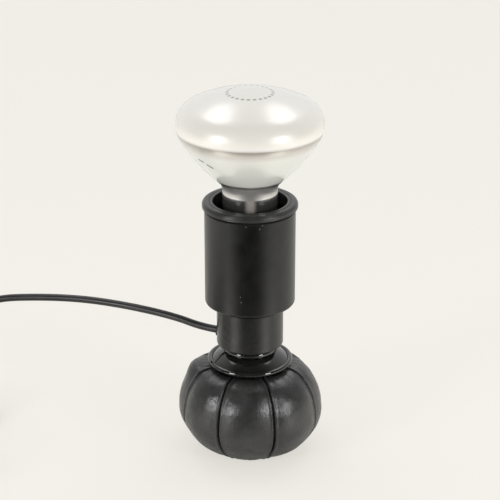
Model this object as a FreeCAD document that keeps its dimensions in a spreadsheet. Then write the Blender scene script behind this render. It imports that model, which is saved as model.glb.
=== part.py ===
import FreeCAD, Part
import math
import os
import re

# Small table lamp: a reflector bulb in a tube, on a leather bag of lead shot that lets it lean.
# Millimetres, +Z up, the origin on the table under the middle of the bag.
# Azimuths are counted from the front (-Y) towards the right (+X).

doc = FreeCAD.newDocument("bag_lamp")
Vec = FreeCAD.Vector
UP = Vec(0, 0, 1)

# Driving dimensions, one cell each
sheet = doc.addObject("Spreadsheet::Sheet", "Sizes")
CELLS = {
    # leather bag, eight gores
    "gores": 8, "seam_azimuth": 18, "bag_height": 50.5,
    "belly_radius": 40.4, "belly_height": 23.3,
    "bag_foot_radius": 17.8, "bag_top_radius": 21.4,
    "lower_roundness": 1.63, "upper_roundness": 2.12,
    "seam_depth": 1.9, "seam_least": 0.45, "leather": 1.4, "soft_gap": 0.3,
    "patch_radius": 16.6, "patch_play": 0.05, "shot_level": 44.0,
    "well_radius": 10.5, "well_floor": 36.0,
    # clamp inside the bag and the hollow rod that holds the lamp together
    "clamp_radius": 17.5, "clamp_thick": 2.0,
    "rod_radius": 5.0, "rod_bore": 3.1, "rod_play": 0.08, "rod_foot": 40.6, "rod_head": 74.0,
    "nut_circle": 8.1, "nut_thick": 5.0, "washer_radius": 8.6, "washer_thick": 1.2,
    # sloping collar and neck ring
    "collar_foot_radius": 20.4, "bead_radius": 1.45, "bead_circle": 22.35, "bead_height": 53.8,
    "collar_swell": 24.0, "collar_edge_radius": 21.2, "collar_edge_height": 54.68,
    "collar_top": 59.2, "collar_top_radius": 14.9, "collar_hollow": 1.6, "collar_hollow_radius": 13.0,
    "neck_radius": 15.0, "neck_top": 63.9, "neck_round": 1.5, "neck_step": 1.2,
    # stem
    "stem_radius": 18.5, "stem_wall": 1.8, "stem_floor": 1.2, "stem_top": 86.1, "stem_round": 1.0,
    # cup with its boss and spigot
    "cup_radius": 24.9, "cup_wall": 1.7, "cup_foot": 89.0, "cup_floor": 2.5, "cup_top": 144.0,
    "cup_round": 1.6, "boss_gap": 0.25, "spigot_foot": 80.0, "spigot_bore": 14.9, "fit_play": 0.05,
    # rim ring
    "rim_radius": 26.15, "rim_foot": 144.75, "rim_top": 148.4, "rim_bore": 20.3,
    "rim_lip": 4.0, "rim_lip_wall": 1.5, "rim_round": 2.0, "rim_edge": 0.5,
    "rim_groove_radius": 22.3, "rim_groove": 0.35,
    # porcelain lampholder
    "holder_radius": 19.6, "holder_top": 127.0, "holder_round": 1.5, "holder_bore": 14.0,
    "holder_ledge": 102.0, "pocket_radius": 11.4, "pocket_floor": 96.0,
    "tail_radius": 13.9, "tail_foot": 76.0,
    "ring_nut_radius": 16.0, "ring_nut_thick": 3.0,
    "shell_radius": 13.95, "shell_wall": 0.5, "shell_top": 126.0, "shell_lip": 10.6,
    # contacts and terminals
    "terminal_x": 7.0, "terminal_wide": 6.0, "terminal_deep": 7.0, "terminal_tall": 7.0,
    "terminal_foot": 77.2, "slot_play": 0.3,
    "rivet_radius": 1.3, "rivet_play": 0.05, "strip": 0.6, "strip_wide": 5.0,
    "strap_wide": 3.0, "contact_tip": 97.35, "terminal_screw_radius": 1.2, "terminal_screw_head": 2.1,
    "terminal_screw_tall": 1.4, "kerf_wide": 0.5, "kerf_deep": 0.7,
    # bulb
    "glass": 1.0, "dome_radius": 76.5, "dome_top": 210.4, "shoulder_radius": 12.5,
    "shoulder_circle": 27.5, "shoulder_height": 191.7, "shoulder_start": 25.45, "bowl_start": 119.5,
    "bowl_radius": 100.0, "bowl_foot_radius": 17.5, "bowl_foot": 160.1, "bowl_foot_slope": 48.5,
    "throat_radius": 6.9, "bulb_neck_radius": 15.15, "bulb_neck_top": 154.9, "bulb_neck_foot": 132.0,
    "seal_radius": 12.35, "seal_top": 126.6, "seal_foot": 113.0,
    "mirror": 0.3, "mirror_gap": 0.05, "mirror_edge": 96.0, "mirror_foot": 134.0,
    "cap_radius": 13.1, "cap_wall": 0.6, "cap_foot": 104.4, "cap_top": 124.4, "cap_skirt": 13.3,
    "cap_lip_radius": 10.9, "cap_lead_in": 2.0, "cap_flare": 1.0,
    "insulator_radius": 5.0, "insulator_foot": 98.9, "insulator_edge": 0.8, "seat_play": 0.05,
    "pip_radius": 4.4, "pip_foot": 97.4, "pip_round": 1.0,
    "mount_flare": 11.1, "mount_flare_tall": 7.0, "mount_tube": 4.6, "mount_bore": 3.2,
    "mount_shoulder": 138.0, "mount_closing": 3.0, "press_radius": 3.0, "press_top": 148.0,
    "lead_radius": 0.5, "lead_pitch": 1.7, "lead_spread": 8.0, "lead_bend": 6.0, "lead_lean": 1.2,
    "filament_height": 171.0, "filament_radius": 0.7, "filament_bow": 5.5,
    # cord
    "cord_radius": 2.1, "cord_azimuth": 249.0, "cord_exit": 68.0, "grommet_hole": 2.75,
    "grommet_flange": 3.5, "grommet_flange_deep": 3.0, "grommet_proud": 0.95, "grommet_play": 0.05,
    "sheath_end": 10.2, "stop_radius": 2.8, "stop_long": 3.0, "stop_place": 11.6,
    "wire_radius": 0.85, "wire_spacing": 1.05, "wire_lead_in": 6.5, "wire_stub": 1.6,
    # put-away coil
    "coil_x": -190.0, "coil_y": -59.2, "coil_outer": 28.0, "coil_pitch": 4.8, "coil_rise": 4.75,
    "coil_turns": 2, "coil_layers": 4, "climb_swell": 0.6,
    # switch on the cord
    "switch_x": -218.0, "switch_y": -2.0, "switch_long": 50.0, "switch_wide": 18.0,
    "switch_tall": 13.0, "switch_skin": 1.6, "switch_round": 5.5,
    "switch_end_wall": 10.0, "window_long": 16.8, "window_wide": 7.6, "window_play": 0.4,
    "rocker_half": 7.3, "rocker_tall": 5.0, "rocker_dip": 0.8, "rocker_keel": 3.2, "rocker_skirt": 0.5,
    "rocker_tilt": 9.0, "rocker_axle_height": 8.3, "axle_radius": 0.9, "axle_long": 11.0, "axle_play": 0.05,
    "bridge_long": 4.0, "contact_wide": 5.0, "contact_long": 3.0, "contact_thick": 1.2,
    "switch_contact_y": 10.5, "switch_screw_x": 5.0, "switch_screw_y": 21.5, "switch_screw_radius": 1.5,
    "switch_screw_play": 0.05, "switch_screw_foot": 0.5, "switch_screw_sunk": 1.0,
    # plug
    "plug_x": -168.0, "plug_back": 5.0, "plug_long": 36.0, "plug_wide": 35.0, "plug_tall": 13.7,
    "plug_waist": 14.0, "plug_round": 3.0, "plug_waist_long": 6.0, "plug_swell_end": 22.0, "plug_swell": 26.0,
    "relief_long": 20.0, "relief_radius": 4.6, "relief_tail_radius": 2.8,
    "pin_spacing": 18.6, "pin_radius": 2.0, "pin_long": 19.0, "pin_root": 8.0, "socket_over": 1.0,
}
for row, (alias, value) in enumerate(CELLS.items(), start=1):
    sheet.set("A%d" % row, alias)
    sheet.set("B%d" % row, str(value))
    sheet.setAlias("B%d" % row, alias)
doc.recompute()


def size(alias):
    """A driving dimension as a number."""
    return float(sheet.get(alias))


def bound(words):
    """A formula in plain aliases, as the expression engine reads it."""
    kept = ("sin", "cos", "tan", "deg")
    return re.sub(r"[a-z_]{2,}", lambda m: m.group() if m.group() in kept else "Sizes." + m.group(), words)


def worth(words):
    """The value of a formula in plain aliases."""
    return float(sheet.evalExpression(bound(words)))


pieces = {}


def keep(label, thing):
    """Names a finished piece, so that it is checked and written out."""
    thing.Label = label
    pieces[label] = thing
    return thing


def cell_of(thing, **formulas):
    """Binds an object's properties to formulas of the sheet; a double underscore stands for a dot."""
    for name, words in formulas.items():
        thing.setExpression(name.replace("__", "."), bound(words))
    return thing


def place(thing, across="0", back="0", height="0"):
    """Puts an object at a place given by formulas."""
    return cell_of(thing, Placement__Base__x=across, Placement__Base__y=back, Placement__Base__z=height)


def arc_between(start, end, radius, turn):
    """A circle arc from start to end; turn is +1 when it bends left and -1 when it bends right."""
    chord = end - start
    half = chord.Length / 2
    reach = math.sqrt(max(radius * radius - half * half, 0))
    side = Vec(-chord.y, chord.x, 0).normalize() * turn
    centre = start + chord * 0.5 + side * reach
    first, last = (start, end) if turn > 0 else (end, start)
    low = math.atan2(first.y - centre.y, first.x - centre.x)
    high = math.atan2(last.y - centre.y, last.x - centre.x)
    return Part.ArcOfCircle(Part.Circle(centre, UP, radius), low, high if high > low else high + 2 * math.pi)


def draw(body, role, outline):
    """A closed sketch on one of the body's planes. Each corner is (across, up) in formulas, or
    (across, up, radius, turn) when the edge that arrives there is an arc."""
    import Sketcher
    plane = [p for p in body.Origin.OriginFeatures if p.Role == role][0]
    sketch = body.newObject("Sketcher::SketchObject", body.Name + "_outline")
    sketch.AttachmentSupport = (plane, [""])
    sketch.MapMode = "FlatFace"
    spots = [Vec(worth(c[0]), worth(c[1]), 0) for c in outline]
    ends = []
    for index, corner in enumerate(outline):
        before, here = spots[index - 1], spots[index]
        if len(corner) == 2:
            edge = sketch.addGeometry(Part.LineSegment(before, here), False)
            ends.append((edge, 1, 2))
        else:
            edge = sketch.addGeometry(arc_between(before, here, worth(corner[2]), corner[3]), False)
            ends.append((edge, 1, 2) if corner[3] > 0 else (edge, 2, 1))
    for index, corner in enumerate(outline):
        edge, _, tail = ends[index]
        following, head, _ = ends[(index + 1) % len(ends)]
        sketch.addConstraint(Sketcher.Constraint("Coincident", edge, tail, following, head))
        for kind, words, axis in (("DistanceX", corner[0], -2), ("DistanceY", corner[1], -1)):
            value = worth(words)
            if abs(value) < 1e-9:
                sketch.addConstraint(Sketcher.Constraint("PointOnObject", edge, tail, axis))
                continue
            rule = sketch.addConstraint(Sketcher.Constraint(kind, -1, 1, edge, tail, value))
            sketch.setExpression("Constraints[%d]" % rule, bound(words))
        if len(corner) == 4:
            rule = sketch.addConstraint(Sketcher.Constraint("Radius", edge, worth(corner[2])))
            sketch.setExpression("Constraints[%d]" % rule, bound(corner[2]))
    return sketch


def turned(label, outline):
    """A lathe-turned piece: its half outline (radius, height) spun round the Z axis."""
    body = doc.addObject("PartDesign::Body", label)
    sketch = draw(body, "XZ_Plane", outline)
    spin = body.newObject("PartDesign::Revolution", label + "_spin")
    spin.Profile = sketch
    spin.ReferenceAxis = (sketch, ["V_Axis"])
    spin.Angle = 360
    body.Tip = spin
    return body


def ring(label, inner, outer, low, high):
    """A plain turned ring."""
    return turned(label, [(inner, low), (outer, low), (outer, high), (inner, high)])


def strip_of(label, outline, width):
    """A bent strip: its edge outline in the XZ plane, padded to both sides."""
    body = doc.addObject("PartDesign::Body", label)
    sketch = draw(body, "XZ_Plane", outline)
    pad = body.newObject("PartDesign::Pad", label + "_pad")
    pad.Profile = sketch
    pad.Midplane = True
    cell_of(pad, Length=width)
    body.Tip = pad
    return body


def cylinder(name, radius, height, across="0", back="0", low="0"):
    """A round bar or a drill, upright."""
    bar = cell_of(doc.addObject("Part::Cylinder", name), Radius=radius, Height=height)
    return place(bar, across, back, low)


def block(name, wide, deep, tall, across, back, low):
    """A box by its middle across and back, and its underside."""
    box = cell_of(doc.addObject("Part::Box", name), Length=wide, Width=deep, Height=tall)
    return place(box, "(%s) - (%s) / 2" % (across, wide), "(%s) - (%s) / 2" % (back, deep), low)


def cut(name, base, tool):
    """Base less tool."""
    less = doc.addObject("Part::Cut", name)
    less.Base, less.Tool = base, tool
    return less


def joined(name, *things):
    """Several solids made into one."""
    fusion = doc.addObject("Part::MultiFuse", name)
    fusion.Shapes = list(things)
    return fusion


def several(name, *things):
    """Separate solids that share a node."""
    compound = doc.addObject("Part::Compound", name)
    compound.Links = list(things)
    return compound


def solid_feature(name, shape):
    """A shape that no sketch gives."""
    feature = doc.addObject("Part::Feature", name)
    feature.Shape = shape
    return feature


# Leather bag: eight gores round a bag of lead shot. The gore's outline is two rounded quarters,
# below and above the belly, and the seams lie a little inside it.
def gore_outline(step):
    """Radius and height of the gore's middle, for a step from -90 (foot) over 0 (belly) to 90 (top)."""
    turn = math.radians(abs(step))
    if step < 0:
        end_radius, end_height, power = size("bag_foot_radius"), 0.0, 2 / size("lower_roundness")
    else:
        end_radius, end_height = size("bag_top_radius"), size("bag_height")
        power = 2 / size("upper_roundness")
    swing = max(math.cos(turn), 0.0) ** power
    rise = math.sin(turn) ** power
    radius = end_radius + (size("belly_radius") - end_radius) * swing
    return radius, size("belly_height") + (end_height - size("belly_height")) * rise


def gore_ring(radius, height, depth):
    """Eight arcs that meet at the seams."""
    count = int(size("gores"))
    edges = []
    for gore in range(count):
        angles = [math.radians(size("seam_azimuth") + 360.0 / count * (gore + part)) for part in (0, 0.5, 1)]
        radii = (radius - depth, radius, radius - depth)
        spots = [Vec(r * math.sin(a), -r * math.cos(a), height) for r, a in zip(radii, angles)]
        edges.append(Part.Arc(*spots).toShape())
    return Part.Wire(edges)


def gored_solid(inset, top_height):
    """The bag's form, drawn in by inset all round and cut off at top_height."""
    rings = []
    span = (size("bag_height") - 2 * inset) / size("bag_height")
    for step in (-90, -72, -54, -36, -18, 0, 20, 40, 58, 74, 90):
        radius, height = gore_outline(step)
        least = size("seam_least")
        depth = size("seam_depth") * (least + (1 - least) * math.cos(math.radians(step)))
        rings.append(gore_ring(radius - inset, inset + height * span, depth))
    body = Part.makeLoft(rings, True, False)
    reach = 2 * size("belly_radius")
    lid = Part.makeBox(2 * reach, 2 * reach, reach, Vec(-reach, -reach, top_height))
    return body.cut(lid) if top_height < size("bag_height") - inset else body


outer = gored_solid(0.0, size("bag_height"))
inner = gored_solid(size("leather"), size("bag_height"))
hole_foot = Vec(0, 0, size("belly_height"))
rod_hole = Part.makeCylinder(size("rod_radius") + size("rod_play"), size("bag_height"), hole_foot)
foot_hole = Part.makeCylinder(size("patch_radius") + size("patch_play"), 2 * size("leather"))
keep("leather_bag", solid_feature("leather_bag", outer.cut([inner, rod_hole, foot_hole])))
keep("bag_bottom_patch", ring("bag_bottom_patch", "0", "patch_radius", "0", "leather"))

fill = gored_solid(size("leather") + size("soft_gap"), size("shot_level"))
well = Part.makeCylinder(size("well_radius"), size("bag_height"), Vec(0, 0, size("well_floor")))
keep("shot_fill", solid_feature("shot_fill", fill.cut(well)))

# Clamp plate, hollow rod and its nuts: they pull the bag's top, collar, neck ring and stem together
rod_hole_radius = "rod_radius + rod_play"
clamp_top = "bag_height - leather"
clamp_foot = "bag_height - leather - clamp_thick"
keep("bag_clamp_plate", ring("bag_clamp_plate", rod_hole_radius, "clamp_radius", clamp_foot, clamp_top))
keep("threaded_rod", ring("threaded_rod", "rod_bore", "rod_radius", "rod_foot", "rod_head"))


def hex_nut(label, low):
    """A hexagon nut on the rod."""
    prism = doc.addObject("Part::Prism", label + "_hexagon")
    prism.Polygon = 6
    cell_of(prism, Circumradius="nut_circle", Height="nut_thick")
    place(prism, height=low)
    return keep(label, cut(label, prism, cylinder(label + "_bore", rod_hole_radius, "nut_thick", low=low)))


hex_nut("lower_rod_nut", "(%s) - nut_thick" % clamp_foot)
washer_foot = "neck_top + stem_floor"
keep("rod_washer", ring("rod_washer", rod_hole_radius, "washer_radius", washer_foot,
                        washer_foot + " + washer_thick"))
hex_nut("upper_rod_nut", washer_foot + " + washer_thick")

# Sloping collar with its beaded edge, over the bag's gathered top
bead_foot = "bead_height - bead_radius"
keep("collar_disc", turned("collar_disc", [
    (rod_hole_radius, "bag_height + collar_hollow"),
    ("collar_hollow_radius", "bag_height + collar_hollow"),
    ("collar_hollow_radius", "bag_height"),
    ("collar_foot_radius", "bag_height"),
    ("bead_circle", bead_foot),
    ("bead_circle + bead_radius", "bead_height", "bead_radius", 1),
    ("bead_circle", "bead_height + bead_radius", "bead_radius", 1),
    ("collar_edge_radius", "collar_edge_height", "bead_radius", 1),
    ("collar_top_radius", "collar_top", "collar_swell", 1),
    (rod_hole_radius, "collar_top"),
]))

# Neck ring, a turned spacer with a half-round edge and a step under the stem
keep("neck_ring", turned("neck_ring", [
    (rod_hole_radius, "collar_top"),
    ("neck_radius - neck_round", "collar_top"),
    ("neck_radius", "collar_top + neck_round", "neck_round", 1),
    ("neck_radius", "neck_top - neck_step - neck_round"),
    ("neck_radius - neck_round", "neck_top - neck_step", "neck_round", 1),
    ("neck_radius - neck_round", "neck_top"),
    (rod_hole_radius, "neck_top"),
]))

# Stem, a turned pot whose side is drilled for the cord
stem_bore = "stem_radius - stem_wall"
stem = turned("stem_pot", [
    (rod_hole_radius, "neck_top"),
    ("stem_radius - stem_round", "neck_top"),
    ("stem_radius", "neck_top + stem_round", "stem_round", 1),
    ("stem_radius", "stem_top"),
    (stem_bore, "stem_top"),
    (stem_bore, "neck_top + stem_floor"),
    (rod_hole_radius, "neck_top + stem_floor"),
])
cord_way = Vec(math.sin(math.radians(size("cord_azimuth"))), -math.cos(math.radians(size("cord_azimuth"))), 0)


def cord_spot(distance, height=None):
    """A point on the radial line along which the cord leaves the stem."""
    return cord_way * distance + UP * (size("cord_exit") if height is None else height)


def radial_bar(name, radius, start, length):
    """A round bar or a drill that lies on the cord's radial line."""
    shape = Part.makeCylinder(radius, length, cord_spot(start), cord_way)
    return solid_feature(name, shape)


drill = radial_bar("grommet_drill", size("grommet_hole"), size("stem_radius") - 2 * size("stem_wall"),
                   4 * size("stem_wall"))
keep("stem_tube", cut("stem_tube", stem, drill))

# Rubber grommet in the stem's side: a sleeve through the wall and a low flange outside it
stem_skin = Part.makeCylinder(size("stem_radius"), size("stem_top"))
grommet_face = size("stem_radius") + size("grommet_proud")
flange = Part.makeCylinder(size("grommet_flange"), size("grommet_flange_deep"),
                           cord_spot(grommet_face - size("grommet_flange_deep")), cord_way)
sleeve_start = size("stem_radius") - size("stem_wall")
sleeve = Part.makeCylinder(size("grommet_hole") - size("grommet_play"), grommet_face - sleeve_start,
                           cord_spot(sleeve_start), cord_way)
cord_hole = Part.makeCylinder(size("cord_radius"), grommet_face, cord_spot(0), cord_way)
keep("cord_grommet", solid_feature("cord_grommet",
                                   flange.cut(stem_skin).fuse(sleeve).cut(cord_hole).removeSplitter()))

# Sheath inside the stem and the crimped stop that keeps it from being pulled out
sheath_long = grommet_face - size("sheath_end")
sheath = radial_bar("cord_sheath_end", size("cord_radius"), size("sheath_end"), sheath_long)
keep("cord_sheath_end", sheath)
stop = Part.makeCylinder(size("stop_radius"), size("stop_long"), cord_spot(size("stop_place")), cord_way)
keep("cord_stop", solid_feature("cord_stop", stop.cut(sheath.Shape)))

# Cup: one turned piece with the boss under its floor and the spigot that enters the stem
cup_bore = "cup_radius - cup_wall"
boss_foot = "stem_top + boss_gap"
keep("cup_tube", turned("cup_tube", [
    ("spigot_bore", "spigot_foot"),
    (stem_bore + " - fit_play", "spigot_foot"),
    (stem_bore + " - fit_play", boss_foot),
    ("stem_radius", boss_foot),
    ("stem_radius", "cup_foot"),
    ("cup_radius - cup_round", "cup_foot"),
    ("cup_radius", "cup_foot + cup_round", "cup_round", 1),
    ("cup_radius", "cup_top"),
    (cup_bore, "cup_top"),
    (cup_bore, "cup_foot + cup_floor"),
    ("spigot_bore", "cup_foot + cup_floor"),
]))

# Rim ring, pressed into the mouth of the cup
lip_radius = cup_bore + " - fit_play"
keep("rim_ring", turned("rim_ring", [
    (lip_radius + " - rim_lip_wall", "rim_foot - rim_lip"),
    (lip_radius, "rim_foot - rim_lip"),
    (lip_radius, "rim_foot"),
    ("rim_radius - rim_edge", "rim_foot"),
    ("rim_radius", "rim_foot + rim_edge", "rim_edge", 1),
    ("rim_radius", "rim_top - rim_round"),
    ("rim_radius - rim_round", "rim_top", "rim_round", 1),
    ("rim_groove_radius + rim_groove", "rim_top"),
    ("rim_groove_radius", "rim_top - rim_groove"),
    ("rim_groove_radius - rim_groove", "rim_top"),
    ("rim_bore + rim_edge", "rim_top"),
    ("rim_bore", "rim_top - rim_edge", "rim_edge", 1),
    ("rim_bore", "rim_foot"),
    (lip_radius + " - rim_lip_wall", "rim_foot - rim_edge"),
]))

# Porcelain lampholder: the bore takes the screw shell, the tail below goes through the cup's floor
porcelain = turned("holder_porcelain", [
    ("0", "tail_foot"),
    ("tail_radius", "tail_foot"),
    ("tail_radius", "cup_foot + cup_floor"),
    ("holder_radius", "cup_foot + cup_floor"),
    ("holder_radius", "holder_top - holder_round"),
    ("holder_radius - holder_round", "holder_top", "holder_round", 1),
    ("holder_bore", "holder_top"),
    ("holder_bore", "holder_ledge"),
    ("pocket_radius", "holder_ledge"),
    ("pocket_radius", "pocket_floor"),
    ("0", "pocket_floor"),
])
slot_tall = "terminal_foot + terminal_tall + slot_play - tail_foot"
holder_tools = []
for side in ("", "-"):
    mark = "left" if side else "right"
    across = side + "terminal_x"
    holder_tools.append(block("terminal_slot_" + mark, "terminal_wide + 2 * slot_play",
                              "2 * tail_radius", slot_tall, across, "0", "tail_foot"))
    holder_tools.append(cylinder("rivet_hole_" + mark, "rivet_radius + rivet_play",
                                 "pocket_floor - tail_foot", across, "0", "tail_foot"))
keep("lampholder_body", cut("lampholder_body", porcelain, joined("holder_cuts", *holder_tools)))
keep("holder_ring_nut", ring("holder_ring_nut", "tail_radius + fit_play", "ring_nut_radius",
                             "spigot_foot - ring_nut_thick", "spigot_foot"))
keep("screw_shell", turned("screw_shell", [
    ("shell_lip", "holder_ledge"),
    ("shell_radius", "holder_ledge"),
    ("shell_radius", "shell_top"),
    ("shell_radius - shell_wall", "shell_top"),
    ("shell_radius - shell_wall", "holder_ledge + shell_wall"),
    ("shell_lip", "holder_ledge + shell_wall"),
]))

# Contact strips on the pocket's floor: a raised tongue for the bulb's pip, and a strap to the shell
strip_top = "pocket_floor + strip"
tongue_low = "contact_tip - strip"
tongue = strip_of("tongue_strip", [
    ("-terminal_x / 2", tongue_low),
    ("terminal_x / 2 - strip", tongue_low),
    ("terminal_x / 2 - strip", "pocket_floor"),
    ("terminal_x + terminal_wide / 2", "pocket_floor"),
    ("terminal_x + terminal_wide / 2", strip_top),
    ("terminal_x / 2", strip_top),
    ("terminal_x / 2", "contact_tip"),
    ("-terminal_x / 2", "contact_tip"),
], "strip_wide")
strap = strip_of("strap_strip", [
    ("-pocket_radius + slot_play", "pocket_floor"),
    ("-terminal_x + terminal_wide / 2", "pocket_floor"),
    ("-terminal_x + terminal_wide / 2", strip_top),
    ("-pocket_radius + slot_play + strip", strip_top),
    ("-pocket_radius + slot_play + strip", "holder_ledge"),
    ("-pocket_radius + slot_play", "holder_ledge"),
], "strap_wide")
for label, strip, across in (("centre_contact", tongue, "terminal_x"), ("shell_strap", strap, "-terminal_x")):
    hole = cylinder(label + "_hole", "rivet_radius + rivet_play", "strip", across, "0", "pocket_floor")
    keep(label, cut(label, strip, hole))

# Terminal blocks in the tail's slots, their rivets and screws
blocks, rivets, screws = [], [], []
for side in ("", "-"):
    mark = "left" if side else "right"
    across = side + "terminal_x"
    body = block("terminal_" + mark, "terminal_wide", "terminal_deep", "terminal_tall",
                 across, "0", "terminal_foot")
    hole = cylinder("terminal_hole_" + mark, "terminal_screw_radius + rivet_play", "terminal_tall / 2",
                    across, "0", "terminal_foot")
    blocks.append(cut("terminal_block_" + mark, body, hole))
    shank = cylinder("rivet_shank_" + mark, "rivet_radius", strip_top + " - terminal_foot - terminal_tall",
                     across, "0", "terminal_foot + terminal_tall")
    head = cylinder("rivet_head_" + mark, "2 * rivet_radius", "strip", across, "0", strip_top)
    rivets.append(joined("rivet_" + mark, shank, head))
    head_foot = "terminal_foot - terminal_screw_tall"
    screw_head = cylinder("screw_head_" + mark, "terminal_screw_head", "terminal_screw_tall",
                          across, "0", head_foot)
    screw_shank = cylinder("screw_shank_" + mark, "terminal_screw_radius", "terminal_tall / 2",
                           across, "0", "terminal_foot")
    kerf = block("screw_kerf_" + mark, "3 * terminal_screw_head", "kerf_wide", "kerf_deep",
                 across, "0", head_foot)
    screws.append(cut("terminal_screw_" + mark, joined("screw_blank_" + mark, screw_head, screw_shank), kerf))
keep("terminal_blocks", several("terminal_blocks", *blocks))
keep("contact_rivets", several("contact_rivets", *rivets))
keep("terminal_screws", several("terminal_screws", *screws))


# Wires and cords: round tubes on straight runs joined by tangent arcs
def rounded_path(spots):
    """A wire of straight runs and tangent arcs, and the radii of its arcs."""
    edges, radii, last = [], [], spots[0]
    for before, here, after in zip(spots, spots[1:], spots[2:]):
        into, out = here - before, after - here
        turn = into.getAngle(out)
        back = 0.45 * min(into.Length, out.Length)
        radii.append(back / math.tan(turn / 2))
        into_way, out_way = Vec(into).normalize(), Vec(out).normalize()
        start, end = here - into_way * back, here + out_way * back
        bisector = (out_way - into_way).normalize()
        middle = here + bisector * (radii[-1] / math.cos(turn / 2) - radii[-1])
        edges.append(Part.LineSegment(last, start).toShape())
        edges.append(Part.Arc(start, middle, end).toShape())
        last = end
    edges.append(Part.LineSegment(last, spots[-1]).toShape())
    return Part.Wire(edges), radii


def tube_along(path, start, way, radius):
    """A round solid along a wire."""
    section = Part.Wire([Part.Circle(start, way, radius).toShape()])
    pipe = Part.BRepOffsetAPI.MakePipeShell(path)
    pipe.add(section)
    pipe.build()
    pipe.makeSolid()
    return pipe.shape()


def routed(label, spots, radius):
    """A cord or wire through a list of points, with its length and tightest arc printed."""
    path, radii = rounded_path(spots)
    solid = tube_along(path, spots[0], spots[1] - spots[0], radius)
    ideal = math.pi * radius * radius * path.Length
    print("%s: length %.1f mm, arcs %s mm, volume %.4f of section times length"
          % (label, path.Length, " ".join("%.0f" % r for r in radii), solid.Volume / ideal))
    return solid_feature(label, solid)


across_cord = cord_way.cross(UP)
inner_end = cord_spot(size("sheath_end"))
wire_ways = {
    "live_wire": (1, [Vec(-6.1, 6.6, 70.8), Vec(-1.8, 10.4, 73.6), Vec(5.4, 11.8, 74.2)]),
    "neutral_wire": (-1, [Vec(-8.3, 3.4, 71.2), Vec(-8.0, 8.4, 75.4)]),
}
for label, (side, middle_spots) in wire_ways.items():
    start = inner_end + across_cord * (size("wire_spacing") * side)
    finish = Vec(side * size("terminal_x"), size("terminal_deep") / 2,
                 size("terminal_foot") + size("terminal_tall") / 2)
    lead_in = finish + Vec(0, size("wire_lead_in"), 0)
    spots = [start, start - cord_way * size("wire_stub")] + middle_spots + [lead_in, finish]
    keep(label, routed(label, spots, size("wire_radius")))

# Bulb: blown glass in one piece, the dome satin inside and the bowl silvered inside
dome_centre = "(dome_top - dome_radius)"


def around(circle_radius, angle, centre_across, centre_up):
    """A point on a circle, its angle counted from straight up towards the outside."""
    return ("%s + (%s) * sin((%s) * 1deg)" % (centre_across, circle_radius, angle),
            "%s + (%s) * cos((%s) * 1deg)" % (centre_up, circle_radius, angle))


def bowl_foot(inset):
    """The point where the bowl meets the throat, drawn in by inset."""
    return ("bowl_foot_radius - (%s) * cos(bowl_foot_slope * 1deg)" % inset,
            "bowl_foot + (%s) * sin(bowl_foot_slope * 1deg)" % inset)


def envelope(inset):
    """Corners of the envelope from its crown down to the neck, drawn in by inset."""
    shoulder = "shoulder_radius - (%s)" % inset
    start = around("dome_radius - (%s)" % inset, "shoulder_start", "0", dome_centre)
    end = around(shoulder, "bowl_start", "shoulder_circle", "shoulder_height")
    return [
        ("0", "dome_top - (%s)" % inset),
        start + ("dome_radius - (%s)" % inset, -1),
        end + (shoulder, -1),
        bowl_foot(inset) + ("bowl_radius - (%s)" % inset, -1),
        ("bulb_neck_radius - (%s)" % inset, "bulb_neck_top", "throat_radius + (%s)" % inset, 1),
        ("bulb_neck_radius - (%s)" % inset, "bulb_neck_foot"),
        ("seal_radius - (%s)" % inset, "seal_top"),
        ("seal_radius - (%s)" % inset, "seal_foot"),
    ]


def reversed_outline(corners):
    """The same corners walked the other way; each arc moves to the corner that it now arrives at."""
    back = []
    for index in range(len(corners) - 1, -1, -1):
        arrives = corners[index + 1] if index + 1 < len(corners) else corners[index][:2]
        spot = corners[index][:2]
        back.append(spot + (arrives[2], -arrives[3]) if len(arrives) == 4 else spot)
    return back


outside, inside = envelope("0"), envelope("glass")
keep("bulb_glass", turned("bulb_glass", outside + reversed_outline(inside)))

lining_out, lining_in = "glass + mirror_gap", "glass + mirror_gap + mirror"


def lining(inset):
    """Corners of the silvering from its upper edge down to the neck."""
    shoulder = "shoulder_radius - (%s)" % inset
    return [
        around(shoulder, "mirror_edge", "shoulder_circle", "shoulder_height"),
        around(shoulder, "bowl_start", "shoulder_circle", "shoulder_height") + (shoulder, -1),
        bowl_foot(inset) + ("bowl_radius - (%s)" % inset, -1),
        ("bulb_neck_radius - (%s)" % inset, "bulb_neck_top", "throat_radius + (%s)" % inset, 1),
        ("bulb_neck_radius - (%s)" % inset, "mirror_foot"),
    ]


keep("bulb_silvering", turned("bulb_silvering", lining(lining_out) + reversed_outline(lining(lining_in))))

cap_bore = "cap_radius - cap_wall"
keep("bulb_cap_shell", turned("bulb_cap_shell", [
    ("cap_lip_radius", "cap_foot"),
    ("cap_lip_radius + cap_wall", "cap_foot"),
    ("cap_radius", "cap_foot + cap_lead_in"),
    ("cap_radius", "cap_top"),
    ("cap_skirt", "cap_top + cap_flare"),
    ("cap_skirt", "cap_top + 2 * cap_flare"),
    ("cap_skirt - cap_wall", "cap_top + 2 * cap_flare"),
    (cap_bore, "cap_top"),
    (cap_bore, "cap_foot + cap_lead_in + cap_wall / 2"),
    ("cap_lip_radius", "cap_foot + cap_wall"),
]))
keep("bulb_cap_insulator", turned("bulb_cap_insulator", [
    ("0", "insulator_foot"),
    ("insulator_radius", "insulator_foot"),
    ("cap_lip_radius - insulator_edge", "cap_foot - insulator_edge"),
    ("cap_lip_radius - seat_play", "cap_foot"),
    ("cap_lip_radius - seat_play", "cap_foot + cap_lead_in"),
    ("0", "cap_foot + cap_lead_in"),
]))
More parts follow.
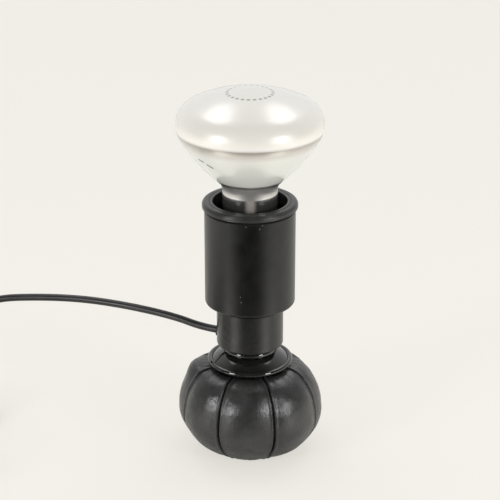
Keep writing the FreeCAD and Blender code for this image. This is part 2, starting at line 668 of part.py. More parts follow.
keep("bulb_contact_pip", turned("bulb_contact_pip", [
    ("0", "pip_foot"),
    ("pip_radius - pip_round", "pip_foot"),
    ("pip_radius", "pip_foot + pip_round", "pip_round", 1),
    ("pip_radius", "insulator_foot"),
    ("0", "insulator_foot"),
]))
keep("bulb_glass_mount", turned("bulb_glass_mount", [
    ("mount_bore", "seal_foot"),
    ("mount_flare", "seal_foot"),
    ("mount_flare", "seal_foot + glass"),
    ("mount_tube", "seal_foot + mount_flare_tall"),
    ("mount_tube", "mount_shoulder"),
    ("press_radius", "mount_shoulder + 2 * glass"),
    ("press_radius", "press_top"),
    ("0", "press_top"),
    ("0", "mount_shoulder"),
    ("mount_bore", "mount_shoulder - mount_closing"),
]))
leads = []
for mark in (-1, 1):
    start = Vec(mark * size("lead_pitch"), 0, size("press_top"))
    tip = Vec(mark * size("lead_spread"), 0, size("filament_height") - size("filament_radius"))
    below = tip - Vec(mark * size("lead_lean"), 0, size("lead_bend"))
    path = [start, start + UP * size("lead_bend"), below, tip]
    wire, _ = rounded_path(path)
    leads.append(solid_feature("lead", tube_along(wire, start, UP, size("lead_radius"))))
keep("filament_leads", several("filament_leads", *leads))
left = Vec(-size("lead_spread"), 0, size("filament_height"))
right = Vec(-left.x, 0, left.z)
bow = Part.Wire([Part.Arc(left, Vec(0, size("filament_bow"), left.z), right).toShape()])
way = bow.Edges[0].tangentAt(bow.Edges[0].FirstParameter)
keep("filament", solid_feature("filament", tube_along(bow, left, way, size("filament_radius"))))

# Cord from the grommet to the switch: out of the stem, a stiff bow to the left, down to the table
lamp_route = [
    cord_spot(grommet_face), cord_spot(29, 68.0), cord_spot(45, 71.6), cord_spot(72, 73.7),
    cord_spot(103, 73.6), cord_spot(134, 69.9), cord_spot(163, 64.2),
    Vec(-178.6, 60.2, 51.1), Vec(-191.3, 58.5, 42.3), Vec(-204.9, 55, 27.2), Vec(-212.9, 48, 14.8),
    Vec(-216.5, 40.1, 9.1), Vec(-218, 30.2, 6.5), Vec(-218, 23, 6.5),
]
keep("cord_free_stretch", routed("cord_free_stretch", lamp_route, size("cord_radius")))
link_route = [Vec(-218, -27, 6.5), Vec(-218, -30.7, 6.5), Vec(-218, -36.3, 5.67),
              Vec(-218, -45.5, 2.1), Vec(-218, -55, 2.1)]
keep("cord_switch_stretch", routed("cord_switch_stretch", link_route, size("cord_radius")))
tail_route = [Vec(-162, -55, 16.35), Vec(-162, -47.2, 16.35), Vec(-163.8, -39.2, 14.48),
              Vec(-166.9, -30.5, 9), Vec(-168, -21.5, 6.85), Vec(-168, -15, 6.85)]
keep("cord_plug_stretch", routed("cord_plug_stretch", tail_route, size("cord_radius")))


# Coil: the length put away, wound in and out in four layers
HALF_TURN = 0.5
layers = int(size("coil_layers"))
layer_turns = size("coil_turns")


def coil_place(turns):
    """Centreline of the coil after a number of turns from its start at the left."""
    layer = min(int(turns / (layer_turns + HALF_TURN)), layers - 1)
    along = turns - layer * (layer_turns + HALF_TURN)
    climb = max(along - layer_turns, 0.0) / HALF_TURN
    wound = min(along, layer_turns) * size("coil_pitch")
    swell = size("climb_swell") * math.sin(math.pi * climb)
    if layer % 2 == 0:
        radius = size("coil_outer") - wound - swell
    else:
        radius = size("coil_outer") - size("coil_pitch") * layer_turns + wound + swell
    height = size("cord_radius") + size("coil_rise") * (layer + (1 - math.cos(math.pi * climb)) / 2)
    angle = math.pi + 2 * math.pi * turns
    return Vec(size("coil_x") + radius * math.cos(angle), size("coil_y") + radius * math.sin(angle), height)


def arc_from(first, way, last):
    """The arc that leaves first along way and ends at last."""
    chord = last - first
    line = Vec(chord).normalize()
    side = (way - line * way.dot(line)).normalize()
    bulge = chord.Length / 2 * math.tan(way.getAngle(chord) / 2)
    return Part.Arc(first, first + chord * 0.5 + side * bulge, last).toShape()


def biarc(start, start_way, end, end_way):
    """Two arcs that join two points with their directions."""
    gap = end - start
    both = start_way + end_way
    slack = 2 * (1 - start_way.dot(end_way))
    reach = (math.sqrt(gap.dot(both) ** 2 + slack * gap.dot(gap)) - gap.dot(both)) / slack
    between = (start + end + (start_way - end_way) * reach) * 0.5
    return [arc_from(start, start_way, between), arc_from(end, end_way * -1, between)]


def least_gap(turns, steps=1200):
    """The smallest clear space between two stretches of the coil, measured on points."""
    fine = [coil_place(turns * k / steps) for k in range(steps + 1)]
    apart = int(steps / turns * HALF_TURN)
    nearest = min((fine[i] - fine[j]).Length for i in range(steps + 1) for j in range(i + apart, steps + 1))
    return nearest - 2 * size("cord_radius")


total_turns = layers * layer_turns + (layers - 1) * HALF_TURN
quarters = int(round(total_turns * 4))
spots = [coil_place(k / 4) for k in range(quarters + 1)]
nudge = 0.001
ways = [(coil_place(min(k / 4 + nudge, total_turns)) - coil_place(max(k / 4 - nudge, 0))).normalize()
        for k in range(quarters + 1)]
ways[0], ways[-1] = Vec(0, -1, 0), Vec(0, 1, 0)
stub = 2 * size("cord_radius")
coil_start, coil_end = spots[0] - ways[0] * stub, spots[-1] + ways[-1] * stub
coil_edges = [Part.LineSegment(coil_start, spots[0]).toShape()]
for k in range(quarters):
    coil_edges += biarc(spots[k], ways[k], spots[k + 1], ways[k + 1])
coil_edges.append(Part.LineSegment(spots[-1], coil_end).toShape())
coil_path = Part.Wire(coil_edges)
coil = tube_along(coil_path, coil_start, ways[0], size("cord_radius"))
print("cord_coil: length %.1f mm, least gap to itself %.2f mm, volume %.4f of section times length"
      % (coil_path.Length, least_gap(total_turns),
         coil.Volume / (math.pi * size("cord_radius") ** 2 * coil_path.Length)))
keep("cord_coil", solid_feature("cord_coil", coil))


def lying_bar(name, radius, length, across, back, height, turn):
    """A round bar along X or Y; turn is the rotation that lays it down."""
    bar = cell_of(doc.addObject("Part::Cylinder", name), Radius=radius, Height=length)
    bar.Placement.Rotation = turn
    return place(bar, across, back, height)


ALONG_X = FreeCAD.Rotation(Vec(0, 1, 0), 90)
ALONG_Y = FreeCAD.Rotation(Vec(1, 0, 0), -90)


# Switch on the cord: two shells, a rocker on its axle, two contacts and two screws
def switch_half(name, low, high):
    """One half of the switch's case, its corners rounded, its long side along Y."""
    body = doc.addObject("PartDesign::Body", name)
    left, right = "switch_x - switch_wide / 2", "switch_x + switch_wide / 2"
    front, back = "switch_y - switch_long / 2", "switch_y + switch_long / 2"
    sketch = draw(body, "XY_Plane", [
        (left, front + " + switch_round"),
        (left + " + switch_round", front, "switch_round", 1),
        (right + " - switch_round", front),
        (right, front + " + switch_round", "switch_round", 1),
        (right, back + " - switch_round"),
        (right + " - switch_round", back, "switch_round", 1),
        (left + " + switch_round", back),
        (left, back + " - switch_round", "switch_round", 1),
    ])
    pad = body.newObject("PartDesign::Pad", name + "_pad")
    pad.Profile = sketch
    cell_of(pad, Length="(%s) - (%s)" % (high, low))
    body.Tip = pad
    place(body, height=low)
    return body


def at_screw(sign):
    """The place of one of the case's two screws, across and back."""
    return "switch_x %s switch_screw_x" % sign, "switch_y %s switch_screw_y" % sign


middle_height = "switch_tall / 2"
inside_tall = "switch_tall - 2 * switch_skin"
switch_hollow = block("switch_hollow", "switch_wide - 2 * switch_skin", "switch_long - 2 * switch_end_wall",
                      inside_tall, "switch_x", "switch_y", "switch_skin")
drill_radius = "switch_screw_radius + switch_screw_play"
drills = [cylinder("switch_drill_%d" % k, drill_radius, "switch_tall", *at_screw(sign))
          for k, sign in enumerate("+-")]
lower_case = switch_half("switch_lower_blank", "0", middle_height)
lower_cuts = joined("switch_lower_cuts", switch_hollow, *drills)
keep("switch_lower_shell", cut("switch_lower_shell", lower_case, lower_cuts))

window = block("switch_window", "window_wide", "window_long", "switch_tall",
               "switch_x", "switch_y", middle_height)
axle_at = ("switch_x - axle_long / 2", "switch_y", "rocker_axle_height", ALONG_X)
axle_seat = lying_bar("axle_seat", "axle_radius", "axle_long", *axle_at)
bridge = block("axle_bridge", "axle_long", "bridge_long", inside_tall, "switch_x", "switch_y", "switch_skin")
bridge_gap = block("axle_bridge_gap", "window_wide", "window_long", "switch_tall",
                   "switch_x", "switch_y", "0")
upper_hollow = cut("upper_hollow", switch_hollow, cut("axle_cheeks", bridge, bridge_gap))
upper_case = switch_half("switch_upper_blank", middle_height, "switch_tall")
upper_cuts = joined("switch_upper_cuts", upper_hollow, window, axle_seat, *drills)
keep("switch_upper_shell", cut("switch_upper_shell", upper_case, upper_cuts))

rocker = doc.addObject("PartDesign::Body", "rocker_blank")
rocker_pad = rocker.newObject("PartDesign::Pad", "rocker_pad")
rocker_pad.Profile = draw(rocker, "YZ_Plane", [
    ("-rocker_half", "-rocker_skirt"),
    ("0", "-rocker_keel"),
    ("rocker_half", "-rocker_skirt"),
    ("rocker_half", "rocker_tall"),
    ("0", "rocker_tall - rocker_dip"),
    ("-rocker_half", "rocker_tall"),
])
rocker_pad.Midplane = True
cell_of(rocker_pad, Length="window_wide - 2 * window_play")
rocker.Tip = rocker_pad
rocker.Placement.Rotation = FreeCAD.Rotation(Vec(1, 0, 0), -size("rocker_tilt"))
place(rocker, "switch_x", "switch_y", "rocker_axle_height")
axle_drill = lying_bar("axle_drill", "axle_radius + axle_play", "axle_long", *axle_at)
keep("switch_rocker", cut("switch_rocker", rocker, axle_drill))
keep("rocker_axle", lying_bar("rocker_axle", "axle_radius", "axle_long", *axle_at))

contacts, case_screws = [], []
for k, sign in enumerate("+-"):
    contacts.append(block("switch_contact_%d" % k, "contact_wide", "contact_long", "contact_thick",
                          "switch_x", "switch_y %s switch_contact_y" % sign, "switch_skin"))
    head_top = "switch_tall - switch_screw_sunk"
    shank = cylinder("case_screw_shank_%d" % k, "switch_screw_radius", head_top + " - switch_screw_foot",
                     *at_screw(sign), "switch_screw_foot")
    kerf = block("case_screw_kerf_%d" % k, "3 * switch_screw_radius", "kerf_wide", "kerf_deep",
                 *at_screw(sign), head_top + " - kerf_deep")
    case_screws.append(cut("case_screw_%d" % k, shank, kerf))
keep("switch_contacts", several("switch_contacts", *contacts))
keep("switch_screws", several("switch_screws", *case_screws))

# Two-pin plug: a flat moulded body, its pins, and the tapered strain relief behind it
plug_front = "plug_back + plug_long"
plug = doc.addObject("PartDesign::Body", "plug_blank")
plug_pad = plug.newObject("PartDesign::Pad", "plug_pad")
plug_pad.Profile = draw(plug, "XY_Plane", [
    ("plug_x - plug_waist / 2", "plug_back"),
    ("plug_x + plug_waist / 2", "plug_back"),
    ("plug_x + plug_waist / 2", "plug_back + plug_waist_long"),
    ("plug_x + plug_wide / 2", "plug_back + plug_swell_end", "plug_swell", -1),
    ("plug_x + plug_wide / 2", plug_front + " - plug_round"),
    ("plug_x + plug_wide / 2 - plug_round", plug_front, "plug_round", 1),
    ("plug_x - plug_wide / 2 + plug_round", plug_front),
    ("plug_x - plug_wide / 2", plug_front + " - plug_round", "plug_round", 1),
    ("plug_x - plug_wide / 2", "plug_back + plug_swell_end"),
    ("plug_x - plug_waist / 2", "plug_back + plug_waist_long", "plug_swell", -1),
])
cell_of(plug_pad, Length="plug_tall")
plug.Tip = plug_pad
pins, sockets = [], []
for k, sign in enumerate("+-"):
    pin_at = ("plug_x %s pin_spacing / 2" % sign, plug_front + " - pin_root", "plug_tall / 2", ALONG_Y)
    pins.append(lying_bar("plug_pin_%d" % k, "pin_radius", "pin_long + pin_root", *pin_at))
    sockets.append(lying_bar("plug_socket_%d" % k, "pin_radius", "pin_root + socket_over", *pin_at))
keep("plug_body", cut("plug_body", plug, joined("plug_sockets", *sockets)))
keep("plug_pins", several("plug_pins", *pins))
relief = doc.addObject("Part::Cone", "plug_strain_relief")
cell_of(relief, Radius1="relief_tail_radius", Radius2="relief_radius", Height="relief_long")
relief.Placement.Rotation = ALONG_Y
keep("plug_strain_relief", place(relief, "plug_x", "plug_back - relief_long", "plug_tall / 2"))

# Check every object and write each piece
doc.recompute()
failed = [o.Label for o in doc.Objects if {"Invalid", "Error"} & set(o.State)]
if failed:
    raise RuntimeError("failed objects: %s" % failed)
for label, thing in pieces.items():
    if thing.Shape.isNull() or not thing.Shape.isValid() or not thing.Shape.Solids:
        raise RuntimeError("bad shape: " + label)
os.makedirs("parts", exist_ok=True)
for label, thing in pieces.items():
    thing.Shape.exportStep("parts/%s.step" % label)
    print("%-22s %9.1f mm3  %d solid" % (label, thing.Shape.Volume, len(thing.Shape.Solids)))
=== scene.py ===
import math

import bmesh
import bpy
import numpy as np
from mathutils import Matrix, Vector, noise


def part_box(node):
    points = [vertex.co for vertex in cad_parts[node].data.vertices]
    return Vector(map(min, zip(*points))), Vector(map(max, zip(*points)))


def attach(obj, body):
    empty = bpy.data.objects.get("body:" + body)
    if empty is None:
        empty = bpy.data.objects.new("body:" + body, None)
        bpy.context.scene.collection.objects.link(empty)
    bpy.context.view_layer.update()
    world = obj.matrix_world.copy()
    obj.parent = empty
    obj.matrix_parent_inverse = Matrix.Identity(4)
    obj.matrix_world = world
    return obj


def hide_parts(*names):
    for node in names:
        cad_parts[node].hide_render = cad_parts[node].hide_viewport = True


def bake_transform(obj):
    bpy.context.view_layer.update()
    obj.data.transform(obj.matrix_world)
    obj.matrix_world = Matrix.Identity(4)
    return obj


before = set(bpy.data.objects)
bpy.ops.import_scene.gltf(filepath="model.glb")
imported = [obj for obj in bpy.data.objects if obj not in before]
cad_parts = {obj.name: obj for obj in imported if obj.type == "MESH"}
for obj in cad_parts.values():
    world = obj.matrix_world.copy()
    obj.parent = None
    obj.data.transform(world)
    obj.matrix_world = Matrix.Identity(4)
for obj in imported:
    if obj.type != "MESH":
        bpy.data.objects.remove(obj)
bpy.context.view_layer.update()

# Leather bag: eight gores of thin black leather, sewn inside out, turned and filled with shot.
# Each seam is a narrow groove between two rounded gore edges, and the mouth is gathered under
# the collar. It is made in two halves that meet at the belly, because it bends in two places.
MM = 0.001
seam_azimuths = (-27, 20.5, 69.5, 114, 157, 200, 244, 288.5, 333)
bag_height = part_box("leather_bag")[1].z
belly_radius, belly_height = 40.4 * MM, 23.3 * MM
foot_radius, mouth_radius = 17.8 * MM, 21.4 * MM
foot_power, mouth_power = 2 / 1.63, 2 / 2.12
seam_depth, seam_least = 1.9 * MM, 0.45
groove_deep, groove_wide = 1.6 * MM, 0.5 * MM
lip_high, lip_away, lip_wide = 0.45 * MM, 1.25 * MM, 0.55 * MM
pucker_from, pucker_span, pucker_high, pucker_waves = 55, 35, 0.22 * MM, 40
lumps, lump_slope = ((2.3, 0.35 * MM), (7.0, 0.12 * MM)), 60
floor_clear = 0.02 * MM
# Each sag: its azimuth and slope, how far it reaches round and up in degrees, and how far it stands out
sags = ((math.radians(90), -42, 55, 30, 1.7 * MM), (math.radians(-97), 60, 22, 16, 2.6 * MM),
        (math.radians(-1), 67, 2.4, 3.5, -0.9 * MM))
leather_thick = 1.4 * MM
gore_steps = (0, 0.004, 0.009, 0.015, 0.022, 0.031, 0.043, 0.06, 0.085, 0.12, 0.165, 0.22, 0.29, 0.36, 0.43)
lower_slopes = [-90 + 3 * k for k in range(30)] + [-0.8, -0.2, 0]
upper_slopes = [0, 0.2, 0.8] + [2.5 * k for k in range(1, 37)]


def bag_profile(slope):
    """Radius and height along the crown of a gore, from the foot at -90 degrees to the mouth at 90."""
    turn = math.radians(abs(slope))
    end_radius, end_height, power = (foot_radius, 0.0, foot_power)
    if slope > 0:
        end_radius, end_height, power = (mouth_radius, bag_height, mouth_power)
    swing = max(math.cos(turn), 0.0) ** power
    rise = math.sin(turn) ** power
    return (end_radius + (belly_radius - end_radius) * swing,
            belly_height + (end_height - belly_height) * rise)


def bag_normal(slope):
    """The outward direction across and up at a slope of the profile."""
    step = 0.5
    low, high = bag_profile(max(slope - step, -90)), bag_profile(min(slope + step, 90))
    along = Vector((high[0] - low[0], high[1] - low[1])).normalized()
    return along.y, -along.x


def in_gore(azimuth):
    """How far across its gore an azimuth lies, 0 to 1, and how wide that gore is, in radians."""
    turned = (math.degrees(azimuth) - seam_azimuths[0]) % 360 + seam_azimuths[0]
    right = next((k for k, seam in enumerate(seam_azimuths) if seam > turned), len(seam_azimuths) - 1)
    wide = seam_azimuths[right] - seam_azimuths[right - 1]
    return min((turned - seam_azimuths[right - 1]) / wide, 1.0), math.radians(wide)


def bag_spot(azimuth, slope, inset=0.0):
    """A point of the bag, on its outer face or drawn in by inset."""
    radius, height = bag_profile(slope)
    across, up = bag_normal(slope)
    gore, gore_wide = in_gore(azimuth)
    from_seam = min(gore, 1 - gore) * gore_wide * radius
    dip = seam_depth * (seam_least + (1 - seam_least) * math.cos(math.radians(slope)))
    radius -= dip * (2 * gore - 1) ** 2
    out = -inset
    if not inset:
        puckered = max(abs(slope) - pucker_from, 0) / pucker_span
        out -= groove_deep * math.exp(-(from_seam / groove_wide) ** 2)
        out += lip_high * math.exp(-((from_seam - lip_away) / lip_wide) ** 2)
        for sag_azimuth, sag_slope, sag_across, sag_up, sag_out in sags:
            aside = math.degrees(abs((azimuth - sag_azimuth + math.pi) % (2 * math.pi) - math.pi))
            out += sag_out * math.exp(-(aside / sag_across) ** 2 - ((slope - sag_slope) / sag_up) ** 2)
        out += pucker_high * puckered * math.cos(azimuth * pucker_waves + 2.0 * math.sin(azimuth * 3))
        around = Vector((math.sin(azimuth), -math.cos(azimuth), slope / lump_slope))
        out += sum(high * noise.noise(around * fine) for fine, high in lumps)
    reach = radius + out * across
    return Vector((reach * math.sin(azimuth), -reach * math.cos(azimuth),
                   max(height + out * up, floor_clear + inset)))


def ringed(name, rings, joined=False, crisp=()):
    """A smooth mesh over rings of points.
    Joined closes the last ring to the first, and crisp rings keep an edge."""
    count = len(rings[0])
    points = [tuple(spot) for ring in rings for spot in ring]
    faces = []
    for row in range(len(rings) if joined else len(rings) - 1):
        here, above = row * count, (row + 1) % len(rings) * count
        for k in range(count):
            beside = (k + 1) % count
            faces.append((here + k, here + beside, above + beside, above + k))
    if not joined:
        crisp = list(crisp) + [0, len(rings) - 1]
        faces.append(tuple(reversed(range(count))))
        faces.append(tuple(range(len(points) - count, len(points))))
    mesh = bpy.data.meshes.new(name)
    mesh.from_pydata(points, [], faces)
    mesh.shade_smooth()
    for edge in mesh.edges:
        rows = {v // count for v in edge.vertices}
        edge.use_edge_sharp = len(rows) == 1 and rows <= set(crisp)
    piece = bpy.data.objects.new(name, mesh)
    bpy.context.scene.collection.objects.link(piece)
    return piece


def bag_half(name, slopes):
    """One half of the bag, a shell of leather between its outer and inner faces."""
    steps = list(gore_steps) + [0.5] + [1 - share for share in reversed(gore_steps[1:])]
    azimuths = [math.radians(left + (right - left) * share)
                for left, right in zip(seam_azimuths, seam_azimuths[1:]) for share in steps]
    outer = [[bag_spot(a, slope) for a in azimuths] for slope in slopes]
    inner = [[bag_spot(a, slope, leather_thick) for a in azimuths] for slope in reversed(slopes[::3])]
    return ringed(name, outer + inner, joined=True,
                  crisp=(0, len(outer) - 1, len(outer), len(outer) + len(inner) - 1))


def new_finish(name, colour, roughness, metallic=0.0, **even):
    """A material on one Principled shader, its even values set on the shader's own sockets."""
    made = bpy.data.materials.new(name)
    made.use_nodes = True
    shader = shader_of(made)
    shader.inputs["Base Color"].default_value = (*colour, 1)
    shader.inputs["Roughness"].default_value = roughness
    shader.inputs["Metallic"].default_value = metallic
    for socket, value in even.items():
        shader.inputs[socket.replace("_", " ")].default_value = value
    return made


def shader_of(material):
    """The one shader of a finish."""
    return material.node_tree.nodes["Principled BSDF"]


def added(material, kind, **values):
    """A new node in a material, with its own settings or sockets given by name."""
    node = material.node_tree.nodes.new(kind)
    for key, value in values.items():
        if hasattr(node, key):
            setattr(node, key, value)
        else:
            node.inputs[key.replace("_", " ")].default_value = value
    return node


def joined_to(material, output, target):
    """Links a node's output to a socket of another node."""
    material.node_tree.links.new(output, target)


def worked(material, operation, *terms):
    """A sum worked out in a material, from the outputs of nodes and plain numbers."""
    node = added(material, "ShaderNodeMath", operation=operation)
    for socket, term in zip(node.inputs, terms):
        if isinstance(term, (int, float)):
            socket.default_value = term
        else:
            joined_to(material, term, socket)
    return node.outputs["Value"]


def place_of(material, stretch=(1, 1, 1)):
    """The place on the piece, fixed to it, stretched by three factors."""
    coordinates = added(material, "ShaderNodeTexCoord")
    mapping = added(material, "ShaderNodeMapping")
    mapping.inputs["Scale"].default_value = stretch
    joined_to(material, coordinates.outputs["Object"], mapping.inputs["Vector"])
    return mapping.outputs["Vector"]


def axes_of(material):
    """The place on the piece as three numbers, X, Y and Z."""
    split = added(material, "ShaderNodeSeparateXYZ")
    joined_to(material, place_of(material), split.inputs["Vector"])
    return split.outputs


def reach_of(material, across, along):
    """How far a spot lies from a middle, from its places across and along."""
    return worked(material, "SQRT", worked(material, "ADD", worked(material, "POWER", across, 2),
                                           worked(material, "POWER", along, 2)))


def vary(material, socket, low, high, scale, stretch=(1, 1, 1), edges=(0.35, 0.65), detail=3.0):
    """Drives a socket of the shader between two values by a fine noise."""
    shader = shader_of(material)
    cloud = added(material, "ShaderNodeTexNoise", Scale=scale, Detail=detail)
    joined_to(material, place_of(material, stretch), cloud.inputs["Vector"])
    if socket == "Base Color":
        ramp = added(material, "ShaderNodeValToRGB")
        for stop, share, tone in zip(ramp.color_ramp.elements, edges, (low, high)):
            stop.position = share
            stop.color = (*tone, 1)
        joined_to(material, cloud.outputs["Fac"], ramp.inputs["Fac"])
        joined_to(material, ramp.outputs["Color"], shader.inputs[socket])
        return ramp.outputs["Color"]
    spread = added(material, "ShaderNodeMapRange", From_Min=edges[0], From_Max=edges[1],
                   To_Min=low, To_Max=high)
    joined_to(material, cloud.outputs["Fac"], spread.inputs["Value"])
    joined_to(material, spread.outputs["Result"], shader.inputs[socket])
    return spread.outputs["Result"]


def relief(material, height, distance, strength=1.0):
    """Raises the surface by a height between 0 and 1, times a distance in metres, over what is there."""
    shader = shader_of(material)
    bump = added(material, "ShaderNodeBump", Distance=distance, Strength=strength)
    joined_to(material, height, bump.inputs["Height"])
    before = shader.inputs["Normal"].links
    if before:
        joined_to(material, before[0].from_socket, bump.inputs["Normal"])
    joined_to(material, bump.outputs["Normal"], shader.inputs["Normal"])


def noise_relief(material, scale, distance, stretch=(1, 1, 1), detail=3.0):
    """A relief from a noise, for castings, paint and mouldings."""
    cloud = added(material, "ShaderNodeTexNoise", Scale=scale, Detail=detail)
    joined_to(material, place_of(material, stretch), cloud.inputs["Vector"])
    relief(material, cloud.outputs["Fac"], distance)


def dress(material, *nodes):
    """Gives pieces of the frame their finish."""
    for name in nodes:
        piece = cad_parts[name]
        if not piece.material_slots:
            piece.data.materials.append(material)
        for slot in piece.material_slots:
            slot.material = material


leather = new_finish("black_leather", (0.03, 0.03, 0.029), 0.36, IOR=1.6)
vary(leather, "Base Color", (0.015, 0.015, 0.015), (0.03, 0.03, 0.0295), 90)
vary(leather, "Roughness", 0.26, 0.4, 160)
pebbles = added(leather, "ShaderNodeTexVoronoi", feature="SMOOTH_F1", Scale=1500, Smoothness=0.5)
joined_to(leather, place_of(leather, (1, 1, 0.7)), pebbles.inputs["Vector"])
relief(leather, pebbles.outputs["Distance"], 0.00006, 0.7)
noise_relief(leather, 800, 0.00012, (1, 1, 0.25))

bag_lower = bag_half("bag_lower_half", lower_slopes)
bag_upper = bag_half("bag_upper_half", upper_slopes)
for half in (bag_lower, bag_upper):
    half.data.materials.append(leather)
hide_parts("leather_bag")
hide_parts("leather_bag")
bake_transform(bag_lower)
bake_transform(bag_upper)
dress(leather, "bag_bottom_patch")

# Lead shot: loose round pellets that fill the bag and let the lamp lean and stay put.
# They take the shape of the bag, with a well in the middle under the lamp's rod. Only the
# outermost layer is made, pellet by pellet, because the rest can't be seen.
pellet_radius = 2.2 * MM
pellet_gap, row_share = 4.3 * MM, 0.87
shot_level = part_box("shot_fill")[1].z
well_radius, well_floor = 10.5 * MM, 36.0 * MM
lead_inset = leather_thick + 0.3 * MM + pellet_radius


def pellet_rows():
    """The centres of the pellets, row by row: up the sides, over the top and down the well."""
    rows, along, last = [], pellet_gap, None
    for slope in np.arange(-89.5, 80, 0.5):
        radius, height = bag_profile(slope)
        across, up = bag_normal(slope)
        spot = Vector((radius - lead_inset * across, height - lead_inset * up))
        if last is not None:
            along += (spot - last).length
        last = spot
        if along >= pellet_gap * row_share and lead_inset < spot.y < shot_level - pellet_radius:
            rows.append((spot.x, spot.y, True))
            along = 0.0
    top = shot_level - pellet_radius
    edge = rows[-1][0]
    rows += [(edge - pellet_gap * k, top, True) for k in range(1, int((edge - well_radius) / pellet_gap))]
    rows += [(well_radius + pellet_radius, top - pellet_gap * k, False) for k in range(2)]
    rows += [(pellet_gap * k, well_floor - pellet_radius, False) for k in (1, 2)]
    rows += [(foot_radius * share, lead_inset, False) for share in (0.27, 0.54, 0.8)]
    return rows


def pellets(name, low, high):
    """One mesh of all the pellets whose rows lie between two heights."""
    ball = bmesh.new()
    bmesh.ops.create_icosphere(ball, subdivisions=2, radius=pellet_radius)
    ball_points = np.array([v.co for v in ball.verts])
    ball_faces = np.array([[v.index for v in face.verts] for face in ball.faces])
    ball.free()
    centres = []
    for number, (radius, height, gored) in enumerate(pellet_rows()):
        count = max(int(2 * math.pi * radius / pellet_gap), 1)
        for k in range(count if low <= height < high else 0):
            azimuth = 2 * math.pi * (k + number % 2 / 2) / count
            gore = in_gore(azimuth)[0]
            reach = radius - (seam_depth * (2 * gore - 1) ** 2 if gored else 0)
            centres.append((reach * math.sin(azimuth), -reach * math.cos(azimuth), height))
    points = np.concatenate([ball_points + centre for centre in np.array(centres)])
    faces = np.concatenate([ball_faces + len(ball_points) * k for k in range(len(centres))])
    mesh = bpy.data.meshes.new(name)
    mesh.from_pydata(points.tolist(), [], faces.tolist())
    mesh.shade_smooth()
    piece = bpy.data.objects.new(name, mesh)
    bpy.context.scene.collection.objects.link(piece)
    return piece


lead = new_finish("lead_pellets", (0.23, 0.24, 0.26), 0.45, metallic=1.0)
vary(lead, "Base Color", (0.14, 0.145, 0.16), (0.3, 0.31, 0.33), 500)
vary(lead, "Roughness", 0.38, 0.62, 900)
noise_relief(lead, 1500, 0.00004)
shot_lower = pellets("lead_shot_lower", 0, belly_height)
shot_upper = pellets("lead_shot_upper", belly_height, shot_level)
for heap in (shot_lower, shot_upper):
    heap.data.materials.append(lead)
    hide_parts("shot_fill")
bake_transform(shot_lower)
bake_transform(shot_upper)

# Clamp plate, rod, nuts and washer: plated steel. The nuts on the hollow threaded rod clamp the
# bag's gathered mouth between the plate inside and the collar above, and hold the stem down.
steel = new_finish("zinc_plated_steel", (0.62, 0.63, 0.64), 0.3, metallic=1.0)
vary(steel, "Base Color", (0.5, 0.52, 0.55), (0.7, 0.71, 0.7), 300)
vary(steel, "Roughness", 0.22, 0.4, 700)
noise_relief(steel, 2500, 0.00002)
dress(steel, "bag_clamp_plate", "lower_rod_nut", "rod_washer", "upper_rod_nut")


def threaded(name, outside, inside, pitch, deep, low, high, wave, columns=64, rows_a_pitch=8, wall=None):
    """A tube with a thread rolled or cut in it: wave gives the depth, 0 to 1, along one pitch.
    With a wall, the inside follows the thread; without, it is a plain bore."""
    steps = int((high - low) / pitch * rows_a_pitch)
    heights = [low + (high - low) * k / steps for k in range(steps + 1)]

    def depth(height, turn):
        runout = min(1.0, (height - low) / pitch * 2, (high - height) / pitch * 2)
        return deep * runout * wave((height / pitch - turn) % 1.0)

    def ring_at(height, base, follow):
        spots = []
        for k in range(columns):
            turn = k / columns
            radius = base - (depth(height, turn) if follow else 0)
            angle = 2 * math.pi * turn
            spots.append((radius * math.cos(angle), radius * math.sin(angle), height))
        return spots

    outer = [ring_at(height, outside, True) for height in heights]
    bores = heights if wall else [low, high]
    inner = [ring_at(height, outside - wall if wall else inside, bool(wall)) for height in reversed(bores)]
    return ringed(name, outer + inner, joined=True,
                  crisp=(0, len(outer) - 1, len(outer), len(outer) + len(inner) - 1))


rod_low, rod_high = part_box("threaded_rod")
rod_bore, rod_pitch, rod_thread = 3.1 * MM, 1.0 * MM, 0.6 * MM
rod = threaded("threaded_rod_cut", rod_high.x, rod_bore, rod_pitch, rod_thread, rod_low.z, rod_high.z,
               lambda share: 1 - abs(2 * share - 1), columns=40, rows_a_pitch=6)
rod.data.materials.append(steel)
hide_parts("threaded_rod")
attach(rod, "lamp")

# Collar and neck ring: turned steel in gloss black lacquer. The sloping collar caps the bag's
# mouth with its beaded edge, and the stepped ring above it carries the stem.
gloss = new_finish("gloss_black_lacquer", (0.008, 0.008, 0.008), 0.09, Specular_IOR_Level=1.0)
vary(gloss, "Roughness", 0.06, 0.11, 220)
vary(gloss, "Base Color", (0.006, 0.006, 0.006), (0.011, 0.011, 0.01), 150)
noise_relief(gloss, 160, 0.00003, detail=1.0)
dress(gloss, "collar_disc", "neck_ring")

# Stem: a short turned pot in satin black lacquer, drilled in its side for the cord. A rubber
# grommet lines the hole, and a crimped stop keeps the cord from being pulled out.
satin = new_finish("satin_black_lacquer", (0.012, 0.012, 0.0115), 0.3)
vary(satin, "Base Color", (0.009, 0.009, 0.0085), (0.015, 0.015, 0.014), 120)
vary(satin, "Roughness", 0.27, 0.33, 260)
noise_relief(satin, 700, 0.00002)
dress(satin, "stem_tube")
rubber = new_finish("black_rubber", (0.02, 0.02, 0.02), 0.6)
vary(rubber, "Roughness", 0.52, 0.68, 900)
vary(rubber, "Base Color", (0.014, 0.014, 0.014), (0.026, 0.026, 0.025), 500)
noise_relief(rubber, 2200, 0.00003)
dress(rubber, "cord_grommet")
sheath = new_finish("black_cord_sheath", (0.02, 0.02, 0.02), 0.36)
vary(sheath, "Base Color", (0.016, 0.016, 0.016), (0.024, 0.024, 0.023), 60)
vary(sheath, "Roughness", 0.31, 0.41, 90)
